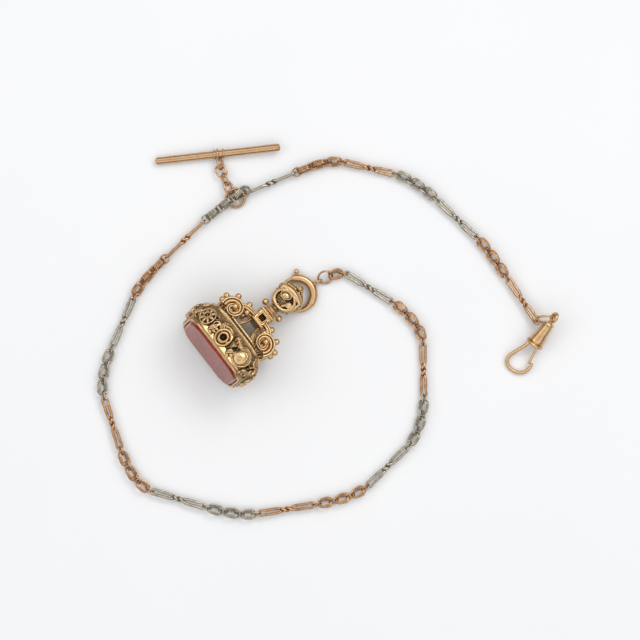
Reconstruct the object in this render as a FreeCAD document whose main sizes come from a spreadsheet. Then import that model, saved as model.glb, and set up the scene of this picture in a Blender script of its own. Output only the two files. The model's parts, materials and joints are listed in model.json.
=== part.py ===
import FreeCAD, Part
import math, os

os.makedirs("parts", exist_ok=True)
V = FreeCAD.Vector
doc = FreeCAD.newDocument("WatchChain")

# ---------------------------------------------------------------- sizes (mm, degrees)
CELLS = [
    ("shift_x", -2.101), ("shift_y", 3.296), ("shift_z", 0),
    ("link_wire", 0.35), ("eye_half", 0.80), ("link_half_gap", 0.65), ("twist_length", 3.4), ("twist_half", 0.43), ("eye_neck", 1.3), ("twist_lead", 1.0),
    ("knot_wire", 0.23), ("knot_half_length", 1.92), ("knot_half_width", 1.20), ("knot_spacing", 0.52), ("knot_fan", 6.0),
    ("connector_half_length", 1.30), ("connector_half_width", 1.15),
    ("junction_radius", 1.68), ("junction_wire", 0.29), ("drop_ring_radius", 2.60), ("drop_ring_wire", 0.375),
    ("oval_half_length", 1.80), ("oval_half_width", 1.30), ("oval_wire", 0.30),
    ("bail_half_length", 1.45), ("bail_half_width", 1.05), ("bail_wire", 0.30), ("bail_band_radius", 1.36), ("bail_band_wire", 0.27),
    ("bar_length", 35.0), ("bar_radius", 1.05), ("bar_end_round", 0.30), ("bar_collar_radius", 1.14), ("bar_collar_wire", 0.28), ("bar_collar_offset", 1.25),
    ("fob_ring_radius", 2.0), ("fob_ring_wire", 0.30),
    ("clasp_radius", 4.54), ("clasp_tube", 1.20), ("clasp_bore", 0.62), ("clasp_bolt", 0.55), ("clasp_horn", 0.50), ("clasp_loop_radius", 0.95), ("clasp_loop_wire", 0.30),
    ("clasp_loop_reach", 7.0), ("clasp_loop_angle", 31.5), ("clasp_tube_from", -35.0), ("clasp_tube_to", 103.0), ("clasp_bolt_tail", 78.0), ("clasp_bolt_tip", 208.0), ("clasp_horn_tip", 210.5),
    ("clasp_slot_half", 0.40), ("clasp_knob_angle", 92.0), ("clasp_knob_reach", 6.15), ("clasp_knob_radius", 0.72), ("clasp_knob_stem", 0.32), ("clasp_travel", 45.0),
    ("clasp_spring_coil", 0.36), ("clasp_spring_wire", 0.11), ("clasp_rim_wire", 0.19), ("clasp_rim_radius", 1.03),
    ("swivel_ring_radius", 2.869), ("swivel_ring_wire", 0.33), ("swivel_eye_radius", 1.20), ("swivel_eye_wire", 0.50), ("swivel_eye_at", 9.75),
    ("stem_radius", 0.50), ("stem_head_radius", 0.90), ("stem_head_from", 5.6), ("stem_head_to", 6.85),
    ("hook_wire", 0.50), ("gate_wire", 0.34), ("gate_eye", 0.42), ("gate_bore", 0.24), ("gate_pin", 0.20), ("gate_pin_length", 3.4), ("gate_pivot_s", 0.45), ("gate_pivot_x", -1.15),
    ("gate_slot_half", 0.42), ("gate_slot_in", -0.25), ("gate_slot_out", -1.75), ("hook_rise", 0.034), ("leaf_thickness", 0.08), ("leaf_width", 0.5),
    ("stone_length", 20.8), ("stone_width", 17.0), ("stone_corner", 4.6), ("stone_front", 0.9), ("stone_depth", 2.2), ("stone_bevel", 0.8),
    ("bezel_wall", 1.2), ("bezel_height", 2.6), ("bezel_gap", 0.03), ("seal_offset_v", -1.0),
    ("setting_length", 26.2), ("setting_width", 20.4),
    ("scroll_wire", 0.75), ("scroll_big", 2.90), ("scroll_step", 0.85), ("scroll_side_w", 3.3), ("bead_radius", 0.90),
    ("block_half_v", 2.4), ("block_half_w", 3.2), ("block_from", 14.8), ("block_to", 19.6), ("block_panel", 1.9), ("block_panel_depth", 0.5),
    ("neck_ball_radius", 0.90), ("neck_ball_at", 3.1), ("neck_ball_s", 21.3),
    ("finial_half_s", 4.5), ("finial_half_v", 4.2), ("finial_half_w", 2.2), ("finial_at", 26.9), ("seal_loop_radius", 1.10), ("seal_loop_wire", 0.30),
]
sheet = doc.addObject("Spreadsheet::Sheet", "Sizes")
for row, (alias, number) in enumerate(CELLS, 1):
    sheet.set("A%d" % row, alias)
    sheet.set("B%d" % row, str(number))
    sheet.setAlias("B%d" % row, alias)
EXTRA = [len(CELLS)]
doc.recompute()


def val(name):
    return float(sheet.get(name))


def cell(alias, number):
    EXTRA[0] += 1
    r = EXTRA[0]
    sheet.set("A%d" % r, alias)
    sheet.set("B%d" % r, str(round(number, 4)))
    sheet.setAlias("B%d" % r, alias)


SHIFT = V(val("shift_x"), val("shift_y"), val("shift_z"))
NODES = []


def frame(o, x, up=None, roll=0.0):
    # placement with local x along the given direction, local y level, rolled about x
    x = V(*x).normalize()
    y = V(0, 0, 1).cross(x).normalize()
    z = x.cross(y)
    c, s = math.cos(math.radians(roll)), math.sin(math.radians(roll))
    y2 = y * c + z * s
    z2 = z * c - y * s
    return axes(o, x, y2, z2)


def axes(o, x, y, z):
    m = FreeCAD.Matrix(x.x, y.x, z.x, o[0] + SHIFT.x, x.y, y.y, z.y, o[1] + SHIFT.y, x.z, y.z, z.z, o[2] + SHIFT.z, 0, 0, 0, 1)
    return FreeCAD.Placement(m)


def put(row):
    # row: x, y, z, yaw, pitch, roll
    return FreeCAD.Placement(V(row[0], row[1], row[2]) + SHIFT, FreeCAD.Rotation(row[3], row[4], row[5]))


def node(obj, label, placement=None):
    obj.Label = label
    if placement is not None:
        obj.Placement = placement
    NODES.append(obj)
    return obj


def shaped(label, shape, placement):
    f = doc.addObject("Part::Feature", label)
    f.Shape = shape
    return node(f, label, placement)


def torus_obj(name, big, small, placement=None):
    t = doc.addObject("Part::Torus", name)
    t.setExpression("Radius1", "Sizes." + big)
    t.setExpression("Radius2", "Sizes." + small)
    if placement is not None:
        t.Placement = placement
    return t


def solid_of(shape):
    s = shape.Solids[0] if len(shape.Solids) == 1 else shape
    return s


def pipe(edges_pts, radius, closed=False):
    # round bar along straight runs joined by tangent arcs
    pts = [V(*p) for p in edges_pts]
    n = len(pts)
    runs = [(pts[i + 1] - pts[i]).Length for i in range(n - 1)]
    edges = []
    last = pts[0]
    for i in range(1, n - 1):
        a = (pts[i] - pts[i - 1]).normalize()
        b = (pts[i + 1] - pts[i]).normalize()
        turn = a.getAngle(b)
        if turn < 0.01:
            continue
        short = min(runs[i - 1], runs[i])
        cut = 0.46 * short
        p1 = pts[i] - a * cut
        p2 = pts[i] + b * cut
        rad = cut / math.tan(turn / 2)
        mid_dir = (b - a).normalize()
        centre_dist = rad / math.cos(turn / 2)
        mid = pts[i] + mid_dir * (centre_dist - rad)
        if (p1 - last).Length > 1e-4:
            edges.append(Part.LineSegment(last, p1).toShape())
        edges.append(Part.Arc(p1, mid, p2).toShape())
        last = p2
    edges.append(Part.LineSegment(last, pts[-1]).toShape())
    return sweep(edges, radius)


def sweep(edges, radius):
    w = Part.Wire(edges)
    e0 = edges[0]
    t0 = e0.tangentAt(e0.FirstParameter)
    p0 = e0.valueAt(e0.FirstParameter)
    prof = Part.Wire([Part.Circle(p0, t0, radius).toShape()])
    s = w.makePipeShell([prof], True, False)
    sol = Part.Solid(s) if s.ShapeType == "Shell" else s
    want = math.pi * radius * radius * w.Length
    if sol.Volume < 0:
        sol.reverse()
    if abs(sol.Volume - want) > 0.06 * want:
        print("pipe volume", round(sol.Volume, 3), "wanted", round(want, 3))
    return sol


def stadium_solid(a, b, r):
    # closed oblong ring, half length a, half width b, wire radius r, in the local xy plane
    s = a - b
    parts = []
    for sx in (1, -1):
        f = Part.Face(Part.Wire([Part.Circle(V(sx * s, -b * sx, 0), V(1, 0, 0), r).toShape()]))
        parts.append(f.revolve(V(sx * s, 0, 0), V(0, 0, 1), 180))
        g = Part.Face(Part.Wire([Part.Circle(V(-s, sx * b, 0), V(1, 0, 0), r).toShape()]))
        parts.append(g.extrude(V(2 * s, 0, 0)))
    out = parts[0].fuse(parts[1:])
    return out.Solids[0]


def moved(shape, placement):
    c = shape.copy()
    c.Placement = placement
    return c


def profile_body(label, points, placement, plane="XZ_Plane", kind="rev", depth=None):
    # body from a closed straight-sided profile whose corners are bound to the sheet
    b = doc.addObject("PartDesign::Body", label + "_body")
    origin_plane = [f for f in b.Origin.OriginFeatures if f.Role == plane][0]
    sk = b.newObject("Sketcher::SketchObject", label + "_sketch")
    sk.AttachmentSupport = [(origin_plane, "")]
    sk.MapMode = "FlatFace"
    import Sketcher
    n = len(points)
    for i in range(n):
        x0, y0 = points[i]
        x1, y1 = points[(i + 1) % n]
        sk.addGeometry(Part.LineSegment(V(x0, y0, 0), V(x1, y1, 0)), False)
    for i in range(n):
        sk.addConstraint(Sketcher.Constraint("Coincident", i, 2, (i + 1) % n, 1))
    for i, (x, y) in enumerate(points):
        for ax, kindc, v in (("x", "DistanceX", x), ("y", "DistanceY", y)):
            cid = sk.addConstraint(Sketcher.Constraint(kindc, -1, 1, i, 1, v))
            nm = "%s_%d" % (ax, i)
            sk.renameConstraint(cid, nm)
            alias = "%s_%s_%d" % (label, ax, i)
            cell(alias, v)
            sk.setExpression("Constraints." + nm, "Sizes." + alias)
    if kind == "rev":
        f = b.newObject("PartDesign::Revolution", label + "_turned")
        f.Profile = sk
        f.ReferenceAxis = (sk, ["V_Axis"])
        f.Angle = 360
    else:
        f = b.newObject("PartDesign::Pad", label + "_pad")
        f.Profile = sk
        cell(label + "_depth", depth)
        f.setExpression("Length", "Sizes." + label + "_depth")
    b.Tip = f
    return node(b, label, placement)


# ---------------------------------------------------------------- chain route
# ends of the twelve long links: x, y, z of each end-wire centre, and the roll about the link's length
LINKS = [
    (7.05, 13.17, 1.5, 20.17, 5.03, 1.5, 18),
    (28.82, -6.52, 1.5, 29.07, -21.48, 1.5, 18),
    (24.45, -35.6, 1.5, 13.24, -46.6, 1.5, 18),
    (-1.51, -51.74, 1.5, -17.26, -54.26, 1.5, 18),
    (-32.28, -52.32, 1.5, -47.19, -47.9, 1.5, 18),
    (-55.91, -36.03, 1.5, -60.51, -21.81, 1.5, 18),
    (-58.22, -7.52, 1.5, -52.26, 6.24, 1.5, 18),
    (-43.13, 17.42, 1.55, -32.34, 27.8, 1.6, 85),
    (-20.62, 35.46, 1.95, -6.97, 41.19, 1.6, 85),
    (6.73, 44.15, 1.5, 20.85, 40.92, 1.5, 18),
    (32.95, 33.45, 1.5, 43.89, 23.1, 1.5, 18),
    (52.6, 11.51, 1.5, 61.02, -0.95, 2.2, 20),
]
# oblong rings between the long links: x, y, z, yaw, pitch, roll; c is a connector, g a stack of three
GROUPS = {
    1: [
        (20.68, 4.679, 1.464, -35.2, -0.29, 108.83),
        (22.502, 3.343, 1.524, -39.28, 0.98, 37.14),
        (24.216, 1.804, 1.498, -44.67, -0.01, 127.99),
        (25.756, 0.133, 1.5, -50.21, -0.0, 38.0),
        (27.121, -1.699, 1.483, -57.74, 0.0, 128.0),
        (28.147, -3.711, 1.562, -67.62, -1.29, 36.78),
        (28.733, -5.932, 1.416, -80.1, 0.78, 109.03),
    ],
    2: [
        (29.049, -22.102, 1.458, -92.38, -0.31, 109.23),
        (28.916, -24.37, 1.536, -96.51, 0.73, 36.77),
        (28.559, -26.72, 1.488, -101.38, -0.07, 127.94),
        (28.0, -28.972, 1.501, -106.33, 0.06, 37.99),
        (27.247, -31.177, 1.482, -112.48, 0.04, 128.05),
        (26.172, -33.26, 1.546, -120.33, -0.79, 36.63),
        (24.849, -35.14, 1.449, -128.99, 1.19, 109.1),
    ],
    3: [
        (12.713, -46.944, 1.419, -140.24, 1.14, 113.88),
        (10.715, -48.229, 1.523, -149.78, -1.91, 34.56),
        (8.529, -49.281, 1.499, -157.68, -1.47, 128.58),
        (6.215, -50.053, 1.531, -162.75, -0.1, 36.49),
        (3.871, -50.701, 1.501, -166.38, 0.62, 125.84),
        (1.47, -51.164, 1.47, -169.95, 1.15, 32.92),
        (-0.888, -51.658, 1.492, -171.46, 0.29, 113.6),
    ],
    4: [
        (-17.879, -54.318, 1.452, -175.15, -0.55, 109.23),
        (-20.149, -54.438, 1.537, 179.68, 0.59, 36.77),
        (-22.539, -54.335, 1.488, 174.84, -0.08, 127.92),
        (-24.854, -54.038, 1.5, 171.11, -0.0, 38.0),
        (-27.145, -53.62, 1.5, 168.4, 0.0, 128.0),
        (-29.445, -53.088, 1.507, 165.82, -0.29, 37.15),
        (-31.68, -52.492, 1.488, 164.48, 0.09, 108.85),
    ],
    5: [
        (-47.738, -47.66, 1.42, 154.61, -1.21, 110.8),
        (-49.694, -46.432, 1.559, 141.44, 0.52, 34.98),
        (-51.378, -44.814, 1.477, 129.99, 0.01, 128.13),
        (-52.725, -42.916, 1.505, 122.74, 0.25, 37.96),
        (-53.887, -40.901, 1.494, 117.53, 0.01, 128.03),
        (-54.862, -38.772, 1.512, 112.74, -0.21, 37.03),
        (-55.714, -36.618, 1.485, 109.93, 0.31, 108.91),
    ],
    6: [
        (-60.655, -21.217, 1.449, 101.64, -1.25, 108.93),
        (-60.943, -18.979, 1.529, 92.64, 1.01, 36.85),
        (-60.86, -16.732, 1.493, 84.05, -0.03, 128.03),
        (-60.494, -14.518, 1.5, 78.22, -0.0, 38.0),
        (-59.954, -12.341, 1.5, 74.18, 0.0, 128.0),
        (-59.269, -10.202, 1.504, 70.27, -0.33, 37.81),
        (-58.459, -8.094, 1.492, 68.2, 0.11, 108.18),
    ],
    7: [
        (-52.003, 6.803, 1.461, 62.98, -1.21, 112.78),
        (-50.914, 8.707, 1.529, 57.26, 0.39, 43.01),
        (-49.607, 10.522, 1.505, 52.34, -0.24, 141.96),
        (-48.195, 12.222, 1.599, 48.89, -1.65, 59.51),
        (-46.709, 13.853, 1.529, 46.66, -0.25, 152.0),
        (-45.167, 15.432, 1.607, 44.94, -1.44, 74.35),
        (-43.574, 16.993, 1.549, 44.32, -0.25, 172.0),
    ],
    9: [
        (-6.393, 41.432, 1.592, 22.08, 1.14, 172.0),
        (-4.467, 42.206, 1.619, 21.0, -0.27, 74.33),
        (-2.393, 42.962, 1.528, 18.55, 0.5, 152.0),
        (-0.302, 43.606, 1.604, 14.99, -1.27, 59.47),
        (1.853, 44.111, 1.497, 9.88, 0.2, 142.05),
        (4.056, 44.332, 1.525, 1.28, -0.58, 45.71),
        (6.13, 44.253, 1.451, -7.01, 1.26, 109.85),
    ],
    10: [
        (21.437, 40.76, 1.478, -17.45, -0.47, 108.28),
        (23.478, 40.025, 1.51, -23.2, 0.89, 37.65),
        (25.449, 39.047, 1.5, -28.86, 0.0, 128.0),
        (27.33, 37.907, 1.5, -33.22, -0.0, 38.0),
        (29.133, 36.647, 1.5, -36.5, 0.0, 128.0),
        (30.865, 35.29, 1.502, -39.69, -0.14, 37.92),
        (32.491, 33.869, 1.495, -41.76, 0.11, 108.07),
    ],
    11: [
        (44.326, 22.663, 1.487, -46.12, 0.08, 108.29),
        (45.833, 21.024, 1.482, -49.29, 1.4, 37.69),
        (47.217, 19.3, 1.451, -52.45, 0.72, 128.0),
        (48.526, 17.522, 1.444, -54.53, 0.08, 37.32),
        (49.787, 15.71, 1.41, -55.63, 0.04, 128.0),
        (51.019, 13.878, 1.434, -56.31, -1.06, 37.55),
        (52.256, 12.034, 1.477, -56.05, -1.65, 109.99),
    ],
}
SPECIAL = {
    "g8": [
        (-31.891, 28.212, 1.662, 37.47, -3.43, 170.45),
        (-30.044, 29.674, 1.892, 37.13, -2.56, 70.45),
        (-28.199, 31.133, 2.144, 38.65, -5.29, 150.78),
        (-26.252, 32.502, 2.412, 34.99, -6.68, 57.19),
        (-24.169, 33.666, 2.365, 24.3, 1.42, 144.3),
        (-22.562, 35.209, 1.813, 45.46, 14.28, 69.75),
    ],
    "g0": [
        (6.476, 12.965, 1.454, 169.29, -3.12, 103.48),
        (4.356, 12.764, 1.469, -165.46, -4.18, 33.09),
    ],
    "junction": (-21.244, 35.884, 1.423, 25.2, -6.41, -27.11),
    "dropring": (-23.636, 34.179, 0.959, -149.3, 11.41, -4.32),
    "oval_c": (-25.603, 36.967, 1.114, 112.71, 0.49, 35.8),
    "oval_b": (-26.606, 39.309, 1.507, 111.28, -0.21, 118.16),
    "oval_a": (-27.683, 41.644, 1.54, 118.03, 6.87, 5.51),
    "fobring": (1.488, 11.959, 1.605, 26.3, -6.53, 32.51),
    "swivelring": (63.022, 0.268, 3.505, 13.54, -34.74, -110.69),
}

WIRE = val("link_wire")


def half_loop(h, sgn):
    we, hw = val("eye_half"), val("link_half_gap")
    tw, rh = val("twist_length"), val("twist_half")
    t = math.tan(math.radians(22.5)) * we
    p = [(-h, 0, 0), (-h, sgn * t, 0), (-h + we - t, sgn * we, 0), (-h + we + 0.35, sgn * we, 0)]
    p.append((-h + we + val("eye_neck"), sgn * hw, 0))
    p.append((-tw / 2 - val("twist_lead"), sgn * hw, 0))
    for k in range(7):
        a = math.radians(60 * k)
        p.append((-tw / 2 + tw * k / 6, sgn * rh * math.cos(a), sgn * rh * math.sin(a)))
    tail = [(-q[0], q[1], q[2]) for q in p[:6]][::-1]
    return p + tail


for i, (ax, ay, az, bx, by, bz, roll) in enumerate(LINKS):
    a, b = V(ax, ay, az), V(bx, by, bz)
    h = (b - a).Length / 2
    one = pipe(half_loop(h, 1), WIRE)
    two = pipe(half_loop(h, -1), WIRE)
    both = one.fuse(two)
    if len(both.Solids) != 1:
        print("long link", i + 1, "solids", len(both.Solids))
    mid = (a + b) * 0.5
    d = b - a
    shaped("long_link_%02d" % (i + 1), solid_of(both), frame((mid.x, mid.y, mid.z), (d.x, d.y, d.z), None, roll))

KNOT = stadium_solid(val("knot_half_length"), val("knot_half_width"), val("knot_wire"))
CONN = stadium_solid(val("connector_half_length"), val("connector_half_width"), val("knot_wire"))
OVAL = stadium_solid(val("oval_half_length"), val("oval_half_width"), val("oval_wire"))


def knot_group(label, rows, kinds):
    base = put(rows[0])
    inv = base.inverse()
    bits = []
    for row, kind in zip(rows, kinds):
        rel = inv.multiply(put(row))
        if kind == "c":
            bits.append(moved(CONN, rel))
        else:
            for k in (-1, 0, 1):
                off = FreeCAD.Placement(V(0, 0, k * val("knot_spacing")), FreeCAD.Rotation(V(0, 0, 1), k * val("knot_fan")))
                bits.append(moved(KNOT, rel.multiply(off)))
    shaped(label, Part.makeCompound(bits), base)


for key in sorted(GROUPS):
    knot_group("knot_group_%02d" % key, GROUPS[key], "cgcgcgc")
knot_group("knot_group_08", SPECIAL["g8"], "cgcgcg")
knot_group("knot_group_00", SPECIAL["g0"], "cg")

# ---------------------------------------------------------------- junction, drop and bar
node(torus_obj("junction_torus", "junction_radius", "junction_wire"), "t_junction_ring", put(SPECIAL["junction"]))
node(torus_obj("drop_torus", "drop_ring_radius", "drop_ring_wire"), "t_drop_ring", put(SPECIAL["dropring"]))
for nm in ("c", "b", "a"):
    shaped("drop_link_" + nm, OVAL.copy(), put(SPECIAL["oval_" + nm]))

bar_a, bar_b = V(-45.64, 44.52, 1.12), V(-10.92, 48.44, 2.22)
bar_u = (bar_b - bar_a).normalize()
bar_mid = (bar_a + bar_b) * 0.5 + bar_u * (-0.35)
side = V(0, 0, 1).cross(bar_u)
side.normalize()
BARP = axes(bar_mid, side, bar_u.cross(side), bar_u)
hl, br, be = val("bar_length") / 2, val("bar_radius"), val("bar_end_round")
profile_body("t_bar", [(0, -hl), (br - be, -hl), (br, -hl + be), (br, hl - be), (br - be, hl), (0, hl)], BARP)

rings = []
for k in (-1, 1):
    t = Part.makeTorus(val("bar_collar_radius"), val("bar_collar_wire"), V(0, 0, k * val("bar_collar_offset")), V(0, 0, 1))
    t = t.cut(Part.makeCylinder(br, 8, V(0, 0, -4), V(0, 0, 1)))
    rings.append(solid_of(t))
shaped("t_bar_collars", Part.makeCompound(rings), BARP)

band = Part.makeTorus(val("bail_band_radius"), val("bail_band_wire"), V(0, 0, 0), V(0, 0, 1))
bail_dir = V(0.14, -0.99, 0).normalize()
bottom = V(-28.03, 44.2, 1.3) + bail_dir * 2.0
bail_c = bottom - bail_dir * val("bail_half_length")
bl = frame((bail_c.x, bail_c.y, bail_c.z), (bail_dir.x, bail_dir.y, 0), None, -50)
loop = stadium_solid(val("bail_half_length"), val("bail_half_width"), val("bail_wire"))
rel = BARP.inverse().multiply(bl)
bail = band.fuse(moved(loop, rel))
if len(bail.Solids) != 1:
    print("bail solids", len(bail.Solids))
shaped("t_bar_bail", solid_of(bail), BARP)

# ---------------------------------------------------------------- round clasp (frame: x at zero degrees, z up)
node(torus_obj("fob_torus", "fob_ring_radius", "fob_ring_wire"), "fob_jump_ring", put(SPECIAL["fobring"]))
CL = FreeCAD.Placement(V(-6.38, 7.17, 1.25) + SHIFT, FreeCAD.Rotation())
CR = val("clasp_radius")


def arc_bar(r, a0, a1, big=None):
    big = CR if big is None else big
    f = Part.Face(Part.Wire([Part.Circle(V(big, 0, 0), V(0, 1, 0), r).toShape()]))
    s = f.revolve(V(0, 0, 0), V(0, 0, 1), a1 - a0)
    s.rotate(V(0, 0, 0), V(0, 0, 1), a0)
    return s


def polar(rad, ang, z=0.0):
    return V(rad * math.cos(math.radians(ang)), rad * math.sin(math.radians(ang)), z)


ta, tb = val("clasp_tube_from"), val("clasp_tube_to")
tube = arc_bar(val("clasp_tube"), ta, tb)
for e in (ta, tb):
    tube = tube.fuse(Part.makeTorus(val("clasp_rim_radius"), val("clasp_rim_wire"), polar(CR, e), polar(1, e + 90)))
# trim both rims flat and open the bore
tube = tube.cut(arc_bar(val("clasp_bore"), ta + 6, tb + 8))
slot_a = val("clasp_knob_angle") - val("clasp_travel") - 5
slot_b = val("clasp_knob_angle") + 5
sh_ = val("clasp_slot_half")
slot = Part.Face(Part.makePolygon([V(CR, 0, -sh_), V(CR + 4, 0, -sh_), V(CR + 4, 0, sh_), V(CR, 0, sh_), V(CR, 0, -sh_)]))
slot = slot.revolve(V(0, 0, 0), V(0, 0, 1), slot_b - slot_a)
slot.rotate(V(0, 0, 0), V(0, 0, 1), slot_a)
tube = tube.cut(slot)
shaped("clasp_tube", solid_of(tube), CL)

hr = val("clasp_horn")
h0 = val("clasp_horn_tip") - 360
horn = arc_bar(hr, h0 + 7, ta).fuse(Part.makeSphere(hr, polar(CR, h0 + 7)))
shaped("clasp_horn", solid_of(horn.removeSplitter()), CL)

lp = val("clasp_loop_angle")
ring = Part.makeTorus(val("clasp_loop_radius"), val("clasp_loop_wire"), polar(val("clasp_loop_reach"), lp), polar(1, lp + 90))
neck = Part.makeCylinder(0.5, 1.35, polar(CR + 0.3, lp), polar(1, lp))
ring = ring.fuse(neck).cut(arc_bar(val("clasp_tube"), ta, tb))
shaped("clasp_loop", solid_of(ring), CL)

tip = val("clasp_bolt_tip")
bolt = arc_bar(val("clasp_bolt"), val("clasp_bolt_tail"), tip - 7.5)
bolt = bolt.fuse(Part.makeSphere(val("clasp_bolt"), polar(CR, tip - 7.5)))
ka, kr = val("clasp_knob_angle"), val("clasp_knob_reach")
bolt = bolt.fuse(Part.makeCylinder(val("clasp_knob_stem"), kr - CR, polar(CR, ka), polar(1, ka)))
bolt = bolt.fuse(Part.makeSphere(val("clasp_knob_radius"), polar(kr + 0.35, ka)))
shaped("clasp_bolt", solid_of(bolt), CL)

coils = []
nturn = 13
for k in range(nturn):
    a = ta + 8 + (val("clasp_bolt_tail") - 2.5 - (ta + 8)) * k / (nturn - 1)
    coils.append(Part.makeTorus(val("clasp_spring_coil"), val("clasp_spring_wire"), polar(CR, a), polar(1, a + 90)))
shaped("clasp_spring", Part.makeCompound(coils), CL)

# ---------------------------------------------------------------- swivel clip (frame: z toward the eye, x across the hook)
tilt = math.radians(14.6)
az_ = V(0.594 * math.cos(tilt), 0.805 * math.cos(tilt), math.sin(tilt)).normalize()
ax_ = V(-0.805, 0.594, 0).normalize()
ax_ = (ax_ - az_ * ax_.dot(az_)).normalize()
ay_ = az_.cross(ax_)
CLIP = axes((59.81, -6.94, 2.67), ax_, ay_, az_)

node(torus_obj("swivel_torus", "swivel_ring_radius", "swivel_ring_wire"), "swivel_jump_ring", put(SPECIAL["swivelring"]))
profile_body("clip_collar", [(0, 0.9), (2.0, 0.9), (2.16, 1.35), (2.16, 1.9), (2.02, 2.7), (1.84, 3.7), (1.68, 4.9), (1.54, 6.1), (1.42, 6.95), (1.52, 7.2), (1.5, 7.5), (1.38, 7.7),
                             (0.56, 7.7), (0.56, 6.95), (1.0, 6.95), (1.0, 5.5), (0, 5.5)], CLIP)
base = Part.makeCylinder(2.0, 0.9)
bead = Part.makeTorus(2.20, 0.45, V(0, 0, 0.45), V(0, 0, 1))
base = base.fuse(bead).fuse(Part.makeCylinder(2.2, 0.9))
sl = val("gate_slot_half")
gx0, gx1 = val("gate_slot_out"), val("gate_slot_in")
base = base.cut(Part.makeBox(gx1 - gx0, 2 * sl, 2.0, V(gx0, -sl, -0.5)))
px, ps = val("gate_pivot_x"), val("gate_pivot_s")
pl = val("gate_pin_length")
base = base.cut(Part.makeCylinder(val("gate_pin"), pl, V(px, -pl / 2, ps), V(0, 1, 0)))
shaped("clip_base_ring", solid_of(base), CLIP)
pin = doc.addObject("Part::Cylinder", "gate_pin_cyl")
pin.setExpression("Radius", "Sizes.gate_pin")
pin.setExpression("Height", "Sizes.gate_pin_length")
node(pin, "gate_pin", CLIP.multiply(FreeCAD.Placement(V(px, -pl / 2, ps), FreeCAD.Rotation(V(1, 0, 0), -90))))

ct = 1 / math.cos(tilt)
hook_pts = [(1.55, 0), (1.7, -1.3), (2.6, -3.6), (3.55, -5.9), (3.75, -7.6), (2.6, -9.1), (0.7, -9.55), (-1.2, -9.1), (-2.55, -7.9), (-2.95, -6.4), (-2.85, -4.95)]
hook = pipe([(x, val("hook_rise") * -s, s) for x, s in hook_pts], val("hook_wire"))
hook = hook.fuse(Part.makeSphere(val("hook_wire"), V(hook_pts[-1][0], val("hook_rise") * -hook_pts[-1][1], hook_pts[-1][1])))
hook = hook.cut(Part.makeCylinder(4, 3))
shaped("clip_hook", solid_of(hook), CLIP)

gate_end = V(-1.93, val("hook_rise") * 4.95, -4.95)
root_pt = V(px, 0, ps)
gd = (gate_end - root_pt)
rod = Part.makeCylinder(val("gate_wire"), gd.Length, root_pt, gd)
rod = rod.fuse(Part.makeSphere(val("gate_wire"), gate_end))
rod = rod.fuse(Part.makeCylinder(val("gate_eye"), 2 * (sl - 0.06), V(px, -(sl - 0.06), ps), V(0, 1, 0)))
rod = rod.cut(Part.makeCylinder(val("gate_bore"), 4, V(px, -2, ps), V(0, 1, 0)))
shaped("clip_gate", solid_of(rod), CLIP)
leaf = Part.makeBox(val("leaf_thickness"), val("leaf_width"), 2.0, V(-0.4, -val("leaf_width") / 2, -1.3))
shaped("gate_spring", leaf, CLIP)

er = val("swivel_eye_radius")
ew = val("swivel_eye_wire")
es = val("swivel_eye_at")
eye = Part.makeTorus(er, ew, V(0, 0, es), V(*(-0.86603, -0.5, -0.0)))
eye = eye.fuse(Part.makeCylinder(val("stem_radius"), es - er - val("stem_head_to") + 0.05, V(0, 0, val("stem_head_to") - 0.05), V(0, 0, 1)))
eye = eye.fuse(Part.makeCylinder(val("stem_head_radius"), val("stem_head_to") - val("stem_head_from"), V(0, 0, val("stem_head_from")), V(0, 0, 1)))
shaped("swivel_eye", solid_of(eye), CLIP)

# ---------------------------------------------------------------- seal (frame: z from stone to finial, x up, y across)
th = math.radians(15.0)
s_dir = V(0.791 * math.cos(th), 0.612 * math.cos(th), -math.sin(th)).normalize()
v_dir = V(0.612, -0.791, 0).normalize()
w_dir = v_dir.cross(s_dir).normalize()
FACE = (-29.62, -9.86, 11.42)
SEAL = axes(FACE, w_dir, v_dir, s_dir)
ov = val("seal_offset_v")


def cushion(half_w, half_v, corner, s, bulge=0.0, cv=None):
    # closed outline with rounded corners in the plane at height s
    cv = ov if cv is None else cv
    c = min(corner, half_w - 0.2, half_v - 0.2)
    k = c * (1 - math.sqrt(0.5))
    x, y = half_w, half_v
    P = [V(x, cv - y + c, s), V(x, cv + y - c, s), V(x - k, cv + y - k, s), V(x - c, cv + y, s), V(-x + c, cv + y, s), V(-x + k, cv + y - k, s), V(-x, cv + y - c, s),
         V(-x, cv - y + c, s), V(-x + k, cv - y + k, s), V(-x + c, cv - y, s), V(x - c, cv - y, s), V(x - k, cv - y + k, s)]
    e = [Part.LineSegment(P[0], P[1]).toShape(), Part.Arc(P[1], P[2], P[3]).toShape(), Part.LineSegment(P[3], P[4]).toShape(), Part.Arc(P[4], P[5], P[6]).toShape(),
         Part.LineSegment(P[6], P[7]).toShape(), Part.Arc(P[7], P[8], P[9]).toShape(), Part.LineSegment(P[9], P[10]).toShape(), Part.Arc(P[10], P[11], P[0]).toShape()]
    return Part.Wire(e)


sl2, sw2, sc = val("stone_length") / 2, val("stone_width") / 2, val("stone_corner")
front, deep, bev = val("stone_front"), val("stone_depth"), val("stone_bevel")
stone = Part.makeLoft([cushion(sw2 - bev, sl2 - bev, sc - bev, -front), cushion(sw2, sl2, sc, -front + bev)], True, True)
stone = stone.fuse(Part.Face(cushion(sw2, sl2, sc, -front + bev)).extrude(V(0, 0, deep + front - bev)))
shaped("seal_stone", solid_of(stone.removeSplitter()), SEAL)

g, bw, bh = val("bezel_gap"), val("bezel_wall"), val("bezel_height")
bez = Part.Face(cushion(sw2 + g + bw, sl2 + g + bw, sc + g + bw, 0)).extrude(V(0, 0, bh))
bez = bez.cut(Part.Face(cushion(sw2 + g, sl2 + g, sc + g, -1)).extrude(V(0, 0, bh + 2)))
shaped("seal_bezel", solid_of(bez), SEAL)

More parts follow.
